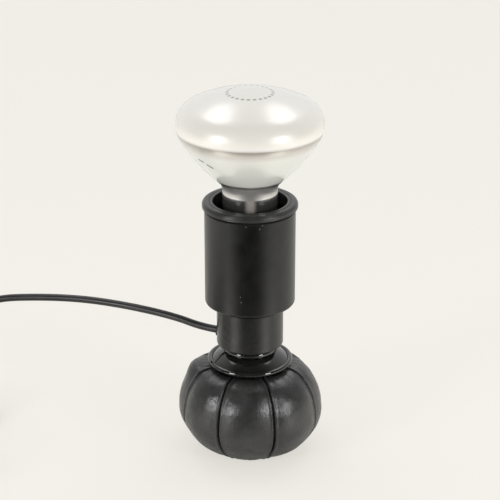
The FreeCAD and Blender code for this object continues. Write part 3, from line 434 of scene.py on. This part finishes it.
noise_relief(sheath, 500, 0.00001, (0.4, 0.4, 1))
dress(sheath, "cord_sheath_end")
dress(steel, "cord_stop")

# Cup: one turned piece in satin black lacquer, with a turned ring pressed into its mouth.
# Handling has left tiny chips near the rim, and the front has one soft darker spot. A painted
# shadow, black and fully rough, runs round the cup's mouth just under the ring.
cup_roughness = 0.32
cup = new_finish("satin_black_cup", (0.005, 0.005, 0.005), cup_roughness)


def nearest(material, spot, places):
    """How far a spot of the surface is from the nearest of some places, in metres."""
    least = None
    for place in places:
        gap = added(material, "ShaderNodeVectorMath", operation="DISTANCE")
        gap.inputs[1].default_value = place
        joined_to(material, spot, gap.inputs[0])
        far = gap.outputs["Value"]
        least = far if least is None else worked(material, "MINIMUM", least, far)
    return least


def around_cup(azimuth, height):
    """A place on the cup's side, by degrees round from the front and millimetres up."""
    turn, reach = math.radians(azimuth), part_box("cup_tube")[1].x
    return reach * math.sin(turn), -reach * math.cos(turn), height * MM


def near(material, far, inner, outer):
    """A share, 1 up to an inner distance and 0 past an outer one, both in millimetres."""
    blend = added(material, "ShaderNodeMapRange", interpolation_type="SMOOTHSTEP",
                  From_Min=outer * MM, From_Max=inner * MM)
    joined_to(material, far, blend.inputs["Value"])
    return blend.outputs["Result"]


def marked(material, share, tone):
    """Lays a tone over the colour that a finish has so far, by a share."""
    colour = shader_of(material).inputs["Base Color"]
    mixed = added(material, "ShaderNodeMix", data_type="RGBA")
    mixed.inputs["B"].default_value = (*tone, 1)
    joined_to(material, colour.links[0].from_socket, mixed.inputs["A"])
    joined_to(material, share, mixed.inputs["Factor"])
    joined_to(material, mixed.outputs["Result"], colour)


vary(cup, "Base Color", (0.003, 0.003, 0.0028), (0.007, 0.007, 0.0065), 150)
cup_mouth = 144 * MM
chip_places = ((-27, 143.3), (-5, 142.3), (15.5, 142.8), (12, 141), (-11, 98.5), (74, 140), (140, 142.5),
               (-120, 128), (-150, 143), (-12, 101.5))
chips = [around_cup(*spot) for spot in chip_places]
marked(cup, near(cup, nearest(cup, place_of(cup), chips), 0.14, 0.34), (0.2, 0.2, 0.19))
# A soft darker spot on the front of the cup.
front_dark_spot = nearest(cup, place_of(cup), [around_cup(-15.5, 129)])
marked(cup, near(cup, front_dark_spot, 2.4, 5.4), (0.001, 0.001, 0.001))
# A painted shadow: a black band round the cup's mouth, just under the ring, made fully rough.
from_mouth = worked(cup, "ABSOLUTE", worked(cup, "SUBTRACT", axes_of(cup)["Z"], cup_mouth))
painted_rim_shadow = near(cup, from_mouth, 0.5, 1.0)
marked(cup, painted_rim_shadow, (0.0, 0.0, 0.0))
roughness_with_painted_shadow = worked(cup, "ADD", cup_roughness, worked(cup, "MULTIPLY", painted_rim_shadow, 1.0 - cup_roughness))
joined_to(cup, roughness_with_painted_shadow, shader_of(cup).inputs["Roughness"])
noise_relief(cup, 700, 0.00002)
dress(cup, "cup_tube")
turned_rim = new_finish("turned_black_rim", (0.014, 0.014, 0.0135), 0.28)
vary(turned_rim, "Base Color", (0.015, 0.015, 0.0145), (0.026, 0.026, 0.025), 120)
rim_axes = axes_of(turned_rim)
rim_lines = added(turned_rim, "ShaderNodeCombineXYZ")
joined_to(turned_rim, reach_of(turned_rim, rim_axes["X"], rim_axes["Y"]), rim_lines.inputs["X"])
joined_to(turned_rim, rim_axes["Z"], rim_lines.inputs["Y"])
turning_marks = added(turned_rim, "ShaderNodeTexNoise", Scale=1600, Detail=2)
joined_to(turned_rim, rim_lines.outputs["Vector"], turning_marks.inputs["Vector"])
relief(turned_rim, turning_marks.outputs["Fac"], 0.0005)
dress(turned_rim, "rim_ring")

# Lampholder: glazed porcelain, its tail through the cup's floor and held by a ring nut. A pressed
# brass shell lines the bore, and two strips carry the current from the terminals in the tail.
porcelain = new_finish("white_porcelain", (0.8, 0.79, 0.75), 0.18, Coat_Weight=0.4, Coat_Roughness=0.05)
vary(porcelain, "Base Color", (0.72, 0.71, 0.66), (0.84, 0.83, 0.79), 90)
vary(porcelain, "Roughness", 0.14, 0.28, 200)
noise_relief(porcelain, 250, 0.00008, detail=1.0)
dress(porcelain, "lampholder_body")
dress(steel, "holder_ring_nut", "terminal_screws")
brass = new_finish("pressed_brass", (0.6, 0.42, 0.16), 0.3, metallic=1.0)
vary(brass, "Base Color", (0.45, 0.3, 0.11), (0.72, 0.52, 0.22), 350)
vary(brass, "Roughness", 0.22, 0.42, 600)
noise_relief(brass, 1800, 0.00002)
dress(brass, "centre_contact", "shell_strap", "terminal_blocks", "contact_rivets")


def rounded_thread(share):
    """Depth along one pitch of the rounded thread of a lamp cap."""
    return 0.5 + 0.5 * math.cos(2 * math.pi * share)


cap_pitch, cap_thread, sheet_metal = 3.629 * MM, 1.0 * MM, 0.3 * MM
shell_low, shell_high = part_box("screw_shell")
shell_floor, shell_lip, thread_columns, thread_rows = 0.5 * MM, 10.6 * MM, 96, 14
shell_outside = shell_high.x - 0.1 * MM
shell = threaded("screw_shell_pressed", shell_outside, None, cap_pitch, cap_thread,
                 shell_low.z + shell_floor, shell_high.z, rounded_thread, columns=thread_columns,
                 rows_a_pitch=thread_rows, wall=sheet_metal)
floor_corners = ((shell_lip, 0), (shell_outside, 0), (shell_outside, shell_floor), (shell_lip, shell_floor))
thread_angles = [2 * math.pi * k / thread_columns for k in range(thread_columns)]
floor_ring = [[(radius * math.cos(a), radius * math.sin(a), shell_low.z + height) for a in thread_angles]
              for radius, height in floor_corners]
shell_foot = ringed("screw_shell_foot", floor_ring, joined=True, crisp=(0, 1, 2, 3))
for part in (shell, shell_foot):
    part.data.materials.append(brass)
    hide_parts("screw_shell")
    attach(part, "lamp")
brown = new_finish("brown_insulation", (0.1, 0.035, 0.012), 0.4)
blue = new_finish("blue_insulation", (0.02, 0.08, 0.3), 0.4)
for wire_finish, wire_node in ((brown, "live_wire"), (blue, "neutral_wire")):
    vary(wire_finish, "Roughness", 0.34, 0.5, 900)
    noise_relief(wire_finish, 1500, 0.00002)
    dress(wire_finish, wire_node)

# Reflector bulb: one blown glass envelope, silvered inside but for its satin dome and cemented
# into a screw cap. One opaque finish shows them by height, from the dark foot of the neck to the
# dome, with bands of painted reflection and shade: the dark foot and a pale band on the neck, a dark
# line at its shoulder, and a dark band with a pale line above it under the dome's edge. On it are
# two strokes of ink, a ring of ticks and a painted highlight, a paler strip down the front of the neck.
glass_low, glass_high = 150 * MM, 195 * MM
bulb = new_finish("reflector_bulb_glass", (0.66, 0.655, 0.62), 0.36, IOR=1.8, Coat_Weight=1.0,
                  Coat_Roughness=0.06, Coat_IOR=1.5)
bulb_axes = axes_of(bulb)
up_the_glass = added(bulb, "ShaderNodeMapRange", From_Min=glass_low, From_Max=glass_high)
joined_to(bulb, bulb_axes["Z"], up_the_glass.inputs["Value"])


def by_height(socket, *stops):
    """Drives a socket of the glass by height. Each stop is a height in millimetres and its value."""
    ramp = added(bulb, "ShaderNodeValToRGB")
    marks = ramp.color_ramp.elements
    for _ in stops[2:]:
        marks.new(1.0)
    for mark, (height, value) in zip(marks, stops):
        mark.position = (height * MM - glass_low) / (glass_high - glass_low)
        mark.color = (*value, 1) if isinstance(value, tuple) else (value, value, value, 1)
    joined_to(bulb, up_the_glass.outputs["Result"], ramp.inputs["Fac"])
    joined_to(bulb, ramp.outputs["Color"], shader_of(bulb).inputs[socket])


# Painted reflection and shade by height: the dark foot and the pale band on the neck, the dark line at its
# shoulder, and the dark band and pale line under the dome's edge.
by_height("Base Color",
          (153.1, (0.035, 0.035, 0.034)), (153.5, (0.84, 0.83, 0.8)), (155, (0.7, 0.67, 0.645)),
          (160.2, (0.62, 0.62, 0.6)), (161.8, (0.22, 0.22, 0.21)), (163.4, (0.74, 0.75, 0.71)),
          (182, (0.76, 0.755, 0.71)), (186.5, (0.56, 0.52, 0.47)), (188.6, (0.4, 0.365, 0.33)),
          (189.3, (0.68, 0.65, 0.61)), (190.3, (0.86, 0.83, 0.79)), (192.5, (0.84, 0.8, 0.74)),
          (195, (0.77, 0.75, 0.69)))
by_height("Metallic", (153.1, 0.0), (153.5, 0.8), (160.2, 0.7), (161.8, 0.9), (163.4, 0.2), (188.6, 0.3),
          (189.3, 0.1))
by_height("Roughness", (153.1, 0.2), (153.5, 0.3), (163.5, 0.34), (188.6, 0.32), (189.3, 0.36))
around = worked(bulb, "ARCTAN2", bulb_axes["X"], worked(bulb, "MULTIPLY", bulb_axes["Y"], -1))
unrolled = added(bulb, "ShaderNodeCombineXYZ")
unroll_radius = 33 * MM
joined_to(bulb, worked(bulb, "MULTIPLY", around, unroll_radius), unrolled.inputs["X"])
joined_to(bulb, bulb_axes["Z"], unrolled.inputs["Z"])


def dash(start, end, start_height, end_height, dots=6):
    """The dots of a short stroke round the bowl, by degrees from the front and millimetres up."""
    shares = [k / (dots - 1) for k in range(dots)]
    return [(unroll_radius * math.radians(start + (end - start) * share), 0,
             (start_height + (end_height - start_height) * share) * MM) for share in shares]


strokes = dash(-51, -46.5, 179, 178.2) + dash(-42.6, -38, 177, 175.6)
marked(bulb, near(bulb, nearest(bulb, unrolled.outputs["Vector"], strokes), 0.4, 0.8), (0.02, 0.02, 0.02))
dial_ticks, dial_radius, dial_middle, dial_foot = 24, 12.2 * MM, -1.5 * MM, 200 * MM
tick_gap, tick_swing = 0.55 * MM, 1.1 * MM
dial_along = worked(bulb, "ADD", bulb_axes["Y"], -dial_middle)
dial_turn = worked(bulb, "ARCTAN2", bulb_axes["X"], dial_along)
dial_reach = reach_of(bulb, bulb_axes["X"], dial_along)
dial_off = worked(bulb, "ABSOLUTE", worked(bulb, "SUBTRACT", dial_reach, dial_radius))
ticks = worked(bulb, "SINE", worked(bulb, "MULTIPLY", dial_turn, dial_ticks))
dial_gap = worked(bulb, "SUBTRACT", tick_gap, worked(bulb, "MULTIPLY", tick_swing, ticks))
dial_low = worked(bulb, "LESS_THAN", bulb_axes["Z"], dial_foot)
dial_away = worked(bulb, "ADD", worked(bulb, "MAXIMUM", dial_off, dial_gap), dial_low)
marked(bulb, near(bulb, dial_away, 0.5, 1.1), (0.3, 0.29, 0.27))
# A painted highlight: a paler strip down the front of the neck, below the silver.
painted_gleam_azimuth, painted_gleam_top, painted_gleam_reach = math.radians(1), 153.1 * MM, 16 * MM
painted_gleam_aside = worked(bulb, "ABSOLUTE", worked(bulb, "SUBTRACT", around, painted_gleam_azimuth))
painted_gleam_over = worked(bulb, "GREATER_THAN", bulb_axes["Z"], painted_gleam_top)
painted_gleam_far = worked(bulb, "MULTIPLY", worked(bulb, "ADD", painted_gleam_aside, painted_gleam_over), painted_gleam_reach)
marked(bulb, near(bulb, painted_gleam_far, 0.8, 4.2), (0.3, 0.27, 0.25))
dress(bulb, "bulb_glass")
silver = new_finish("bulb_silvering", (0.8, 0.8, 0.78), 0.12, metallic=1.0)
vary(silver, "Roughness", 0.08, 0.2, 120)
dress(silver, "bulb_silvering")
cap_metal = new_finish("nickel_cap", (0.6, 0.59, 0.56), 0.3, metallic=1.0)
vary(cap_metal, "Base Color", (0.48, 0.47, 0.44), (0.7, 0.69, 0.66), 260)
vary(cap_metal, "Roughness", 0.22, 0.44, 500)
noise_relief(cap_metal, 1800, 0.00002)
cap_low, cap_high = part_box("bulb_cap_shell")
cap = threaded("bulb_cap_rolled", cap_high.x - 0.2 * MM, None, cap_pitch, cap_thread, cap_low.z + 2 * MM,
               cap_high.z, rounded_thread, columns=thread_columns, rows_a_pitch=thread_rows,
               wall=sheet_metal)
cap.data.materials.append(cap_metal)
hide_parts("bulb_cap_shell")
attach(cap, "bulb")
cap_glass = new_finish("black_cap_glass", (0.015, 0.012, 0.02), 0.12)
vary(cap_glass, "Roughness", 0.08, 0.22, 300)
dress(cap_glass, "bulb_cap_insulator")
solder = new_finish("solder", (0.55, 0.55, 0.56), 0.35, metallic=1.0)
vary(solder, "Roughness", 0.25, 0.5, 700)
noise_relief(solder, 900, 0.0001)
dress(solder, "bulb_contact_pip")
clear_glass = new_finish("clear_glass", (0.95, 0.97, 0.96), 0.03, Transmission_Weight=1.0, IOR=1.5)
vary(clear_glass, "Roughness", 0.01, 0.06, 200)
dress(clear_glass, "bulb_glass_mount")
tungsten = new_finish("tungsten_wire", (0.25, 0.25, 0.26), 0.4, metallic=1.0)
vary(tungsten, "Roughness", 0.3, 0.5, 2000)
dress(tungsten, "filament_leads", "filament")

# Cord: round two-core flex, 4.2 mm thick and about 1.8 m long. It bows stiffly out of the stem to
# the left and comes down to the table, runs through the switch, and the rest is a round coil.
cord_radius = 2.1 * MM
cord_azimuth = math.radians(249)
cord_way = Vector((math.sin(cord_azimuth), -math.cos(cord_azimuth), 0))
cord_exit, grommet_face = 68.0, 19.45


def cord_spot(distance, height):
    """A point on the line along which the cord leaves the stem, in millimetres."""
    return cord_way * distance * MM + Vector((0, 0, height * MM))


def flex_line(name, route):
    """The smooth line of a cord through its route's control points, as close points."""
    line = bpy.data.curves.new(name, "CURVE")
    line.dimensions = "3D"
    line.resolution_u = 12
    spline = line.splines.new("NURBS")
    spline.points.add(len(route) - 1)
    for point, spot in zip(spline.points, route):
        point.co = (*spot, 1)
    spline.order_u = 3
    spline.use_endpoint_u = True
    guide = bpy.data.objects.new(name, line)
    bpy.context.scene.collection.objects.link(guide)
    bpy.context.view_layer.update()
    mesh = bpy.data.meshes.new_from_object(guide)
    spots = [Vector(vertex.co) for vertex in mesh.vertices]
    bpy.data.objects.remove(guide)
    bpy.data.meshes.remove(mesh)
    return spots


def flex_rings(spots, radius, sides=20):
    """Rings square to a line of points, without twist from one to the next."""
    rings, side = [], Vector((0, 0, 1))
    for k, spot in enumerate(spots):
        way = (spots[min(k + 1, len(spots) - 1)] - spots[max(k - 1, 0)]).normalized()
        side = (side - way * side.dot(way)).normalized()
        other = way.cross(side)
        turns = [2 * math.pi * n / sides for n in range(sides)]
        rings.append([spot + (side * math.cos(a) + other * math.sin(a)) * radius for a in turns])
    return rings


def flex(name, rings):
    """A piece of cord with its finish."""
    piece = ringed(name, rings)
    piece.data.materials.append(sheath)
    return piece


lamp_route = [
    cord_spot(grommet_face, cord_exit), cord_spot(29, cord_exit), cord_spot(45, 71.6), cord_spot(72, 73.7),
    cord_spot(103, 73.6), cord_spot(134, 69.9), cord_spot(163, 64.2),
    Vector((-178.6, 60.2, 51.1)) * MM, Vector((-191.3, 58.5, 42.3)) * MM, Vector((-204.9, 55, 27.2)) * MM,
    Vector((-212.9, 48, 14.8)) * MM, Vector((-216.5, 40.1, 9.1)) * MM, Vector((-218, 30.2, 6.5)) * MM,
    Vector((-218, 23, 6.5)) * MM,
]
link_route = [Vector(spot) * MM for spot in (
    (-218, -27, 6.5), (-218, -30.7, 6.5), (-218, -36.3, 5.67), (-218, -45.5, 2.1), (-218, -55, 2.1))]
tail_route = [Vector(spot) * MM for spot in (
    (-162, -55, 16.35), (-162, -47.2, 16.35), (-163.8, -39.2, 14.48), (-166.9, -30.5, 9),
    (-168, -21.5, 6.85), (-168, -15, 6.85))]
coil_x, coil_y, coil_radius = -190 * MM, -59.2 * MM, 28 * MM
coil_pitch, coil_rise, climb_swell = 4.8 * MM, 4.75 * MM, 0.6 * MM
coil_layers, coil_turns, half_turn = 4, 2, 0.5
points_a_turn = 16


def coil_spot(turns):
    """A control point of the coil after a number of turns, out by what the smooth line cuts off."""
    layer = min(int(turns / (coil_turns + half_turn)), coil_layers - 1)
    along = turns - layer * (coil_turns + half_turn)
    climb = max(along - coil_turns, 0.0) / half_turn
    wound = min(along, coil_turns) * coil_pitch
    swell = climb_swell * math.sin(math.pi * climb)
    radius = coil_radius - wound - swell
    if layer % 2:
        radius = coil_radius - coil_pitch * coil_turns + wound + swell
    height = cord_radius + coil_rise * (layer + (1 - math.cos(math.pi * climb)) / 2)
    angle = math.pi + 2 * math.pi * turns
    reach = radius / (1 - (math.pi / points_a_turn) ** 2 / 2)
    return Vector((coil_x + reach * math.cos(angle), coil_y + reach * math.sin(angle), height))


all_turns = coil_layers * coil_turns + (coil_layers - 1) * half_turn
coil_route = [coil_spot(k / points_a_turn) for k in range(1, int(all_turns * points_a_turn))]

lamp_line = flex_line("cord_lamp_line", lamp_route)
lamp_rings = flex_rings(lamp_line, cord_radius)
hinge_x, table_x = -100 * MM, -205 * MM
cut_at = next(k for k, spot in enumerate(lamp_line) if spot.x < hinge_x)
near_cord = flex("cord_near_lamp", lamp_rings[:cut_at + 1])
far_cord = flex("cord_to_switch", lamp_rings[cut_at:])
rest_line = flex_line("cord_rest_line", link_route + coil_route + tail_route)
rest_cord = flex("cord_coil_and_tail", flex_rings(rest_line, cord_radius, sides=16))
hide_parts("cord_free_stretch")
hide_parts("cord_free_stretch")
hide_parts("cord_switch_stretch", "cord_coil", "cord_plug_stretch")
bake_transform(near_cord)
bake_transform(far_cord)
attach(rest_cord, "base")

# Switch: an in-line rocker switch on the cord. Two moulded half shells are held by two screws, and
# the rocker turns on a steel axle over a pair of contacts.
switch_black = new_finish("black_switch_plastic", (0.022, 0.022, 0.022), 0.38)
vary(switch_black, "Base Color", (0.018, 0.018, 0.018), (0.028, 0.028, 0.027), 200)
vary(switch_black, "Roughness", 0.33, 0.45, 500)
noise_relief(switch_black, 2600, 0.00003)


def moulded(node, finish, body, edge, low, high):
    """A moulding with its sharp edges rounded between two heights, as a mould leaves them."""
    piece = bpy.data.objects.new(node + "_moulded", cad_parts[node].data.copy())
    bpy.context.scene.collection.objects.link(piece)
    work = bmesh.new()
    work.from_mesh(piece.data)
    bmesh.ops.remove_doubles(work, verts=work.verts, dist=0.001 * MM)
    bmesh.ops.dissolve_limit(work, angle_limit=math.radians(1), verts=work.verts, edges=work.edges)
    sharp = [side for side in work.edges
             if len(side.link_faces) == 2 and side.calc_face_angle() > math.radians(35)
             and all(low <= v.co.z <= high for v in side.verts)]
    bmesh.ops.bevel(work, geom=sharp, offset=edge, segments=3, profile=0.5, affect="EDGES",
                    clamp_overlap=True)
    bmesh.ops.triangulate(work, faces=work.faces)
    for face in work.faces:
        face.smooth = True
    for side in work.edges:
        side.smooth = not side.is_manifold or side.calc_face_angle() < math.radians(32)
    work.to_mesh(piece.data)
    work.free()
    piece.data.materials.clear()
    piece.data.materials.append(finish)
    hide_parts(node)
    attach(piece, body)
    return piece


switch_bottom, switch_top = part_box("switch_lower_shell")[0].z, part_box("switch_upper_shell")[1].z
switch_middle, mould_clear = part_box("switch_lower_shell")[1].z, 0.5 * MM
rocker_top, rocker_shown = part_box("switch_rocker")[1].z, 1 * MM
lower_edge, upper_edge, rocker_edge = 1.4 * MM, 0.8 * MM, 0.5 * MM
switch_mouldings = [
    moulded("switch_lower_shell", switch_black, "base", lower_edge,
            switch_bottom - mould_clear, switch_middle - mould_clear),
    moulded("switch_upper_shell", switch_black, "base", upper_edge,
            switch_middle + mould_clear, switch_top + mould_clear),
    moulded("switch_rocker", switch_black, "rocker", rocker_edge,
            switch_top - rocker_shown, rocker_top + mould_clear)]
dress(steel, "rocker_axle", "switch_screws")
dress(brass, "switch_contacts")

# Plug: a flat two-pin plug moulded in black plastic round its brass pins, with a ribbed strain
# relief that tapers down to the cord.
plug_black = new_finish("black_plug_plastic", (0.024, 0.024, 0.024), 0.45)
vary(plug_black, "Base Color", (0.018, 0.018, 0.018), (0.03, 0.03, 0.029), 200)
vary(plug_black, "Roughness", 0.4, 0.52, 500)
noise_relief(plug_black, 2200, 0.00004)
plug_low, plug_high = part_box("plug_body")
plug_edge = 1.6 * MM
plug_moulding = moulded("plug_body", plug_black, "base", plug_edge,
                        plug_low.z - mould_clear, plug_high.z + mould_clear)
relief_low, relief_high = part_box("plug_strain_relief")
relief_middle = (relief_low + relief_high) / 2
relief_wide, relief_tail, relief_bore = (relief_high.x - relief_low.x) / 2, 2.8 * MM, cord_radius
relief_ribs, rib_deep, rib_steps, relief_sides, end_share = 7, 0.55 * MM, 8, 40, 1 / 8
relief_rings = []
for k in range(relief_ribs * rib_steps + 1):
    share = k / (relief_ribs * rib_steps)
    open_end = min(1.0, share / end_share, (1 - share) / end_share)
    groove = max(0.0, math.cos(2 * math.pi * share * relief_ribs)) ** 2 * rib_deep * open_end
    reach = relief_tail + (relief_wide - relief_tail) * share - groove
    relief_rings.append((reach, relief_low.y + (relief_high.y - relief_low.y) * share))
relief_rings += [(relief_bore, relief_high.y), (relief_bore, relief_low.y)]
relief_angles = [2 * math.pi * k / relief_sides for k in range(relief_sides)]
last_rings = range(len(relief_rings) - 3, len(relief_rings))
strain_relief = ringed("plug_strain_relief_ribbed", [
    [(relief_middle.x + reach * math.cos(a), along, relief_middle.z + reach * math.sin(a))
     for a in relief_angles] for reach, along in relief_rings], joined=True, crisp=(0, *last_rings))
strain_relief.data.materials.append(plug_black)
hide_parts("plug_strain_relief")
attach(strain_relief, "base")
pin_metal = new_finish("nickel_plated_pins", (0.66, 0.64, 0.6), 0.25, metallic=1.0)
vary(pin_metal, "Roughness", 0.18, 0.34, 500)
dress(pin_metal, "plug_pins")

# Floor, light and camera: a wide pale sheet in a plain pale room that is brightest at both sides,
# with a soft box left and right in front. For reflections alone the room is dimmer in front and
# overhead, and the sheet has painted shade in front and a painted pool of light glowing at each side.
floor_half = 4.0
floor_mesh = bpy.data.meshes.new("pale_floor")
floor_mesh.from_pydata([(-floor_half, -floor_half, 0), (floor_half, -floor_half, 0),
                        (floor_half, floor_half, 0), (-floor_half, floor_half, 0)], [], [(0, 1, 2, 3)])
floor = bpy.data.objects.new("pale_floor", floor_mesh)
bpy.context.scene.collection.objects.link(floor)
paper_tone, backdrop_tone = (0.86, 0.845, 0.79), (0.895, 0.872, 0.81)
shadow_share, painted_shade_tone = 0.3, (0.02, 0.02, 0.02)
dark_from, dark_by, dark_near, dark_far = math.radians(80), math.radians(12), 70 * MM, 170 * MM
paper = new_finish("pale_paper", paper_tone, 0.9, Specular_IOR_Level=0.1,
                   Emission_Color=(*backdrop_tone, 1))
floor.data.materials.append(paper)
paper_shader = shader_of(paper)
paper_rays = added(paper, "ShaderNodeLightPath").outputs
paper_axes = axes_of(paper)
in_front = worked(paper, "MULTIPLY", paper_axes["Y"], -1)
bearing = worked(paper, "ARCTAN2", paper_axes["X"], in_front)
painted_shade_sector = added(paper, "ShaderNodeMapRange", interpolation_type="SMOOTHSTEP",
                   From_Min=dark_from, From_Max=dark_by)
joined_to(paper, worked(paper, "ABSOLUTE", bearing), painted_shade_sector.inputs["Value"])
# Painted shade: reflections see the sheet dark in front of the lamp.
seen_glossy = added(paper, "ShaderNodeMix", data_type="RGBA")
seen_glossy.inputs["A"].default_value = (*paper_tone, 1)
seen_glossy.inputs["B"].default_value = (*painted_shade_tone, 1)
away = added(paper, "ShaderNodeMapRange", interpolation_type="SMOOTHSTEP",
             From_Min=dark_near, From_Max=dark_far)
joined_to(paper, in_front, away.inputs["Value"])
joined_to(paper, worked(paper, "MULTIPLY", paper_rays["Is Glossy Ray"],
                        worked(paper, "MULTIPLY", painted_shade_sector.outputs["Result"], away.outputs["Result"])),
          seen_glossy.inputs["Factor"])
seen_direct = added(paper, "ShaderNodeMix", data_type="RGBA")
seen_direct.inputs["B"].default_value = (*[tone * shadow_share for tone in paper_tone], 1)
joined_to(paper, seen_glossy.outputs["Result"], seen_direct.inputs["A"])
joined_to(paper, paper_rays["Is Camera Ray"], seen_direct.inputs["Factor"])
joined_to(paper, seen_direct.outputs["Result"], paper_shader.inputs["Base Color"])
# Painted light: reflections see a glowing pool on the sheet at each side.
pool_x, pool_y, pool_reach, painted_pool_glow = 140 * MM, -112 * MM, 80 * MM, 2.2
pool_off = worked(paper, "SUBTRACT", worked(paper, "ABSOLUTE", paper_axes["X"]), pool_x)
pool_along = worked(paper, "SUBTRACT", paper_axes["Y"], pool_y)
painted_light_pool = added(paper, "ShaderNodeMapRange", interpolation_type="SMOOTHSTEP", From_Min=pool_reach,
             From_Max=0.0, To_Max=painted_pool_glow)
joined_to(paper, reach_of(paper, pool_off, pool_along), painted_light_pool.inputs["Value"])
lifted = worked(paper, "ADD", worked(paper, "MULTIPLY", paper_rays["Is Camera Ray"], 1 - shadow_share),
                worked(paper, "MULTIPLY", paper_rays["Is Glossy Ray"], painted_light_pool.outputs["Result"]))
joined_to(paper, lifted, paper_shader.inputs["Emission Strength"])

world = bpy.data.worlds.new("studio")
bpy.context.scene.world = world
world.use_nodes = True
side_light, room_front, room_front_soft, room_back = 2.5, 0.05, 0.58, 0.9
band_slant, band_side, band_half, band_back, band_long, band_edge = 0.36, 0.48, 0.2, 0.43, 0.4, 0.9
horizon_soft, room_turn, overhead_from, overhead_drop = 0.2, -0.3, 0.7, 0.55
room_way = added(world, "ShaderNodeTexCoord").outputs["Generated"]
room_axes = added(world, "ShaderNodeSeparateXYZ")
joined_to(world, room_way, room_axes.inputs["Vector"])
to_side, to_back, to_top = [room_axes.outputs[axis] for axis in "XYZ"]
slanted = worked(world, "ADD", worked(world, "ABSOLUTE", to_side),
                 worked(world, "MULTIPLY", to_back, band_slant))
band_off = worked(world, "DIVIDE", worked(world, "SUBTRACT", slanted, band_side), band_half)
band_along = worked(world, "DIVIDE", worked(world, "SUBTRACT", to_back, band_back), band_long)
band_in = worked(world, "SUBTRACT", worked(world, "SUBTRACT", 1, worked(world, "POWER", band_off, 2)),
                 worked(world, "POWER", band_along, 2))
side_lights = added(world, "ShaderNodeMapRange", interpolation_type="SMOOTHSTEP", From_Min=0.0,
                    From_Max=band_edge, To_Max=side_light)
joined_to(world, band_in, side_lights.inputs["Value"])
above = added(world, "ShaderNodeMapRange", From_Min=0.0, From_Max=horizon_soft)
joined_to(world, to_top, above.inputs["Value"])
room_rays = added(world, "ShaderNodeLightPath").outputs
room_light = added(world, "ShaderNodeMapRange", From_Min=room_turn, From_Max=1.0, To_Max=room_back)
joined_to(world, to_back, room_light.inputs["Value"])
joined_to(world, worked(world, "SUBTRACT", room_front_soft,
                        worked(world, "MULTIPLY", room_rays["Is Glossy Ray"], room_front_soft - room_front)),
          room_light.inputs["To Min"])
overhead = added(world, "ShaderNodeMapRange", interpolation_type="SMOOTHSTEP",
                 From_Min=overhead_from, From_Max=1.0, To_Max=overhead_drop)
joined_to(world, to_top, overhead.inputs["Value"])
overhead_dim = worked(world, "SUBTRACT", 1, worked(world, "MULTIPLY", room_rays["Is Glossy Ray"],
                                                   overhead.outputs["Result"]))
room_sum = worked(world, "ADD", worked(world, "MULTIPLY", room_light.outputs["Result"], overhead_dim),
                  worked(world, "MULTIPLY", side_lights.outputs["Result"], above.outputs["Result"]))
room_tone = added(world, "ShaderNodeMix", data_type="RGBA")
room_tone.inputs["B"].default_value = (*backdrop_tone, 1)
joined_to(world, room_sum, room_tone.inputs["A"])
joined_to(world, room_rays["Is Camera Ray"], room_tone.inputs["Factor"])
joined_to(world, room_tone.outputs["Result"], world.node_tree.nodes["Background"].inputs["Color"])


def soft_box(name, place, aim, width, height, radiance):
    """A soft box that faces the lamp, as bright as a white card times its radiance."""
    light = bpy.data.lights.new(name, "AREA")
    light.shape = "RECTANGLE"
    light.size, light.size_y = width, height
    light.energy = radiance * math.pi * width * height
    box = bpy.data.objects.new(name, light)
    bpy.context.scene.collection.objects.link(box)
    box.location = place
    box.rotation_mode = "QUATERNION"
    box.rotation_quaternion = (Vector(place) - Vector(aim)).to_track_quat("Z", "Y")
    box.visible_camera = False


box_azimuth, box_far, box_height, box_aim = math.radians(48), 1.0, 0.33, (0, 0, 0.15)
box_wide, box_tall, box_light = 0.26, 0.36, 12.5
for side, label in ((-1, "left"), (1, "right")):
    box_spot = (side * box_far * math.sin(box_azimuth), -box_far * math.cos(box_azimuth), box_height)
    soft_box("front_box_" + label, box_spot, box_aim, box_wide, box_tall, box_light)

focal_pixels, frame_pixels = 1700, 500
camera_back, camera_high, camera_dips = 861.6 * MM, 472.5 * MM, 22.3
camera_data = bpy.data.cameras.new("camera")
camera_data.lens = camera_data.sensor_width * focal_pixels / frame_pixels
camera = bpy.data.objects.new("camera", camera_data)
bpy.context.scene.collection.objects.link(camera)
camera.location = (0, -camera_back, camera_high)
camera.rotation_euler = (math.radians(90 - camera_dips), 0, 0)
bpy.context.scene.camera = camera
bpy.context.scene.view_settings.view_transform = "Standard"
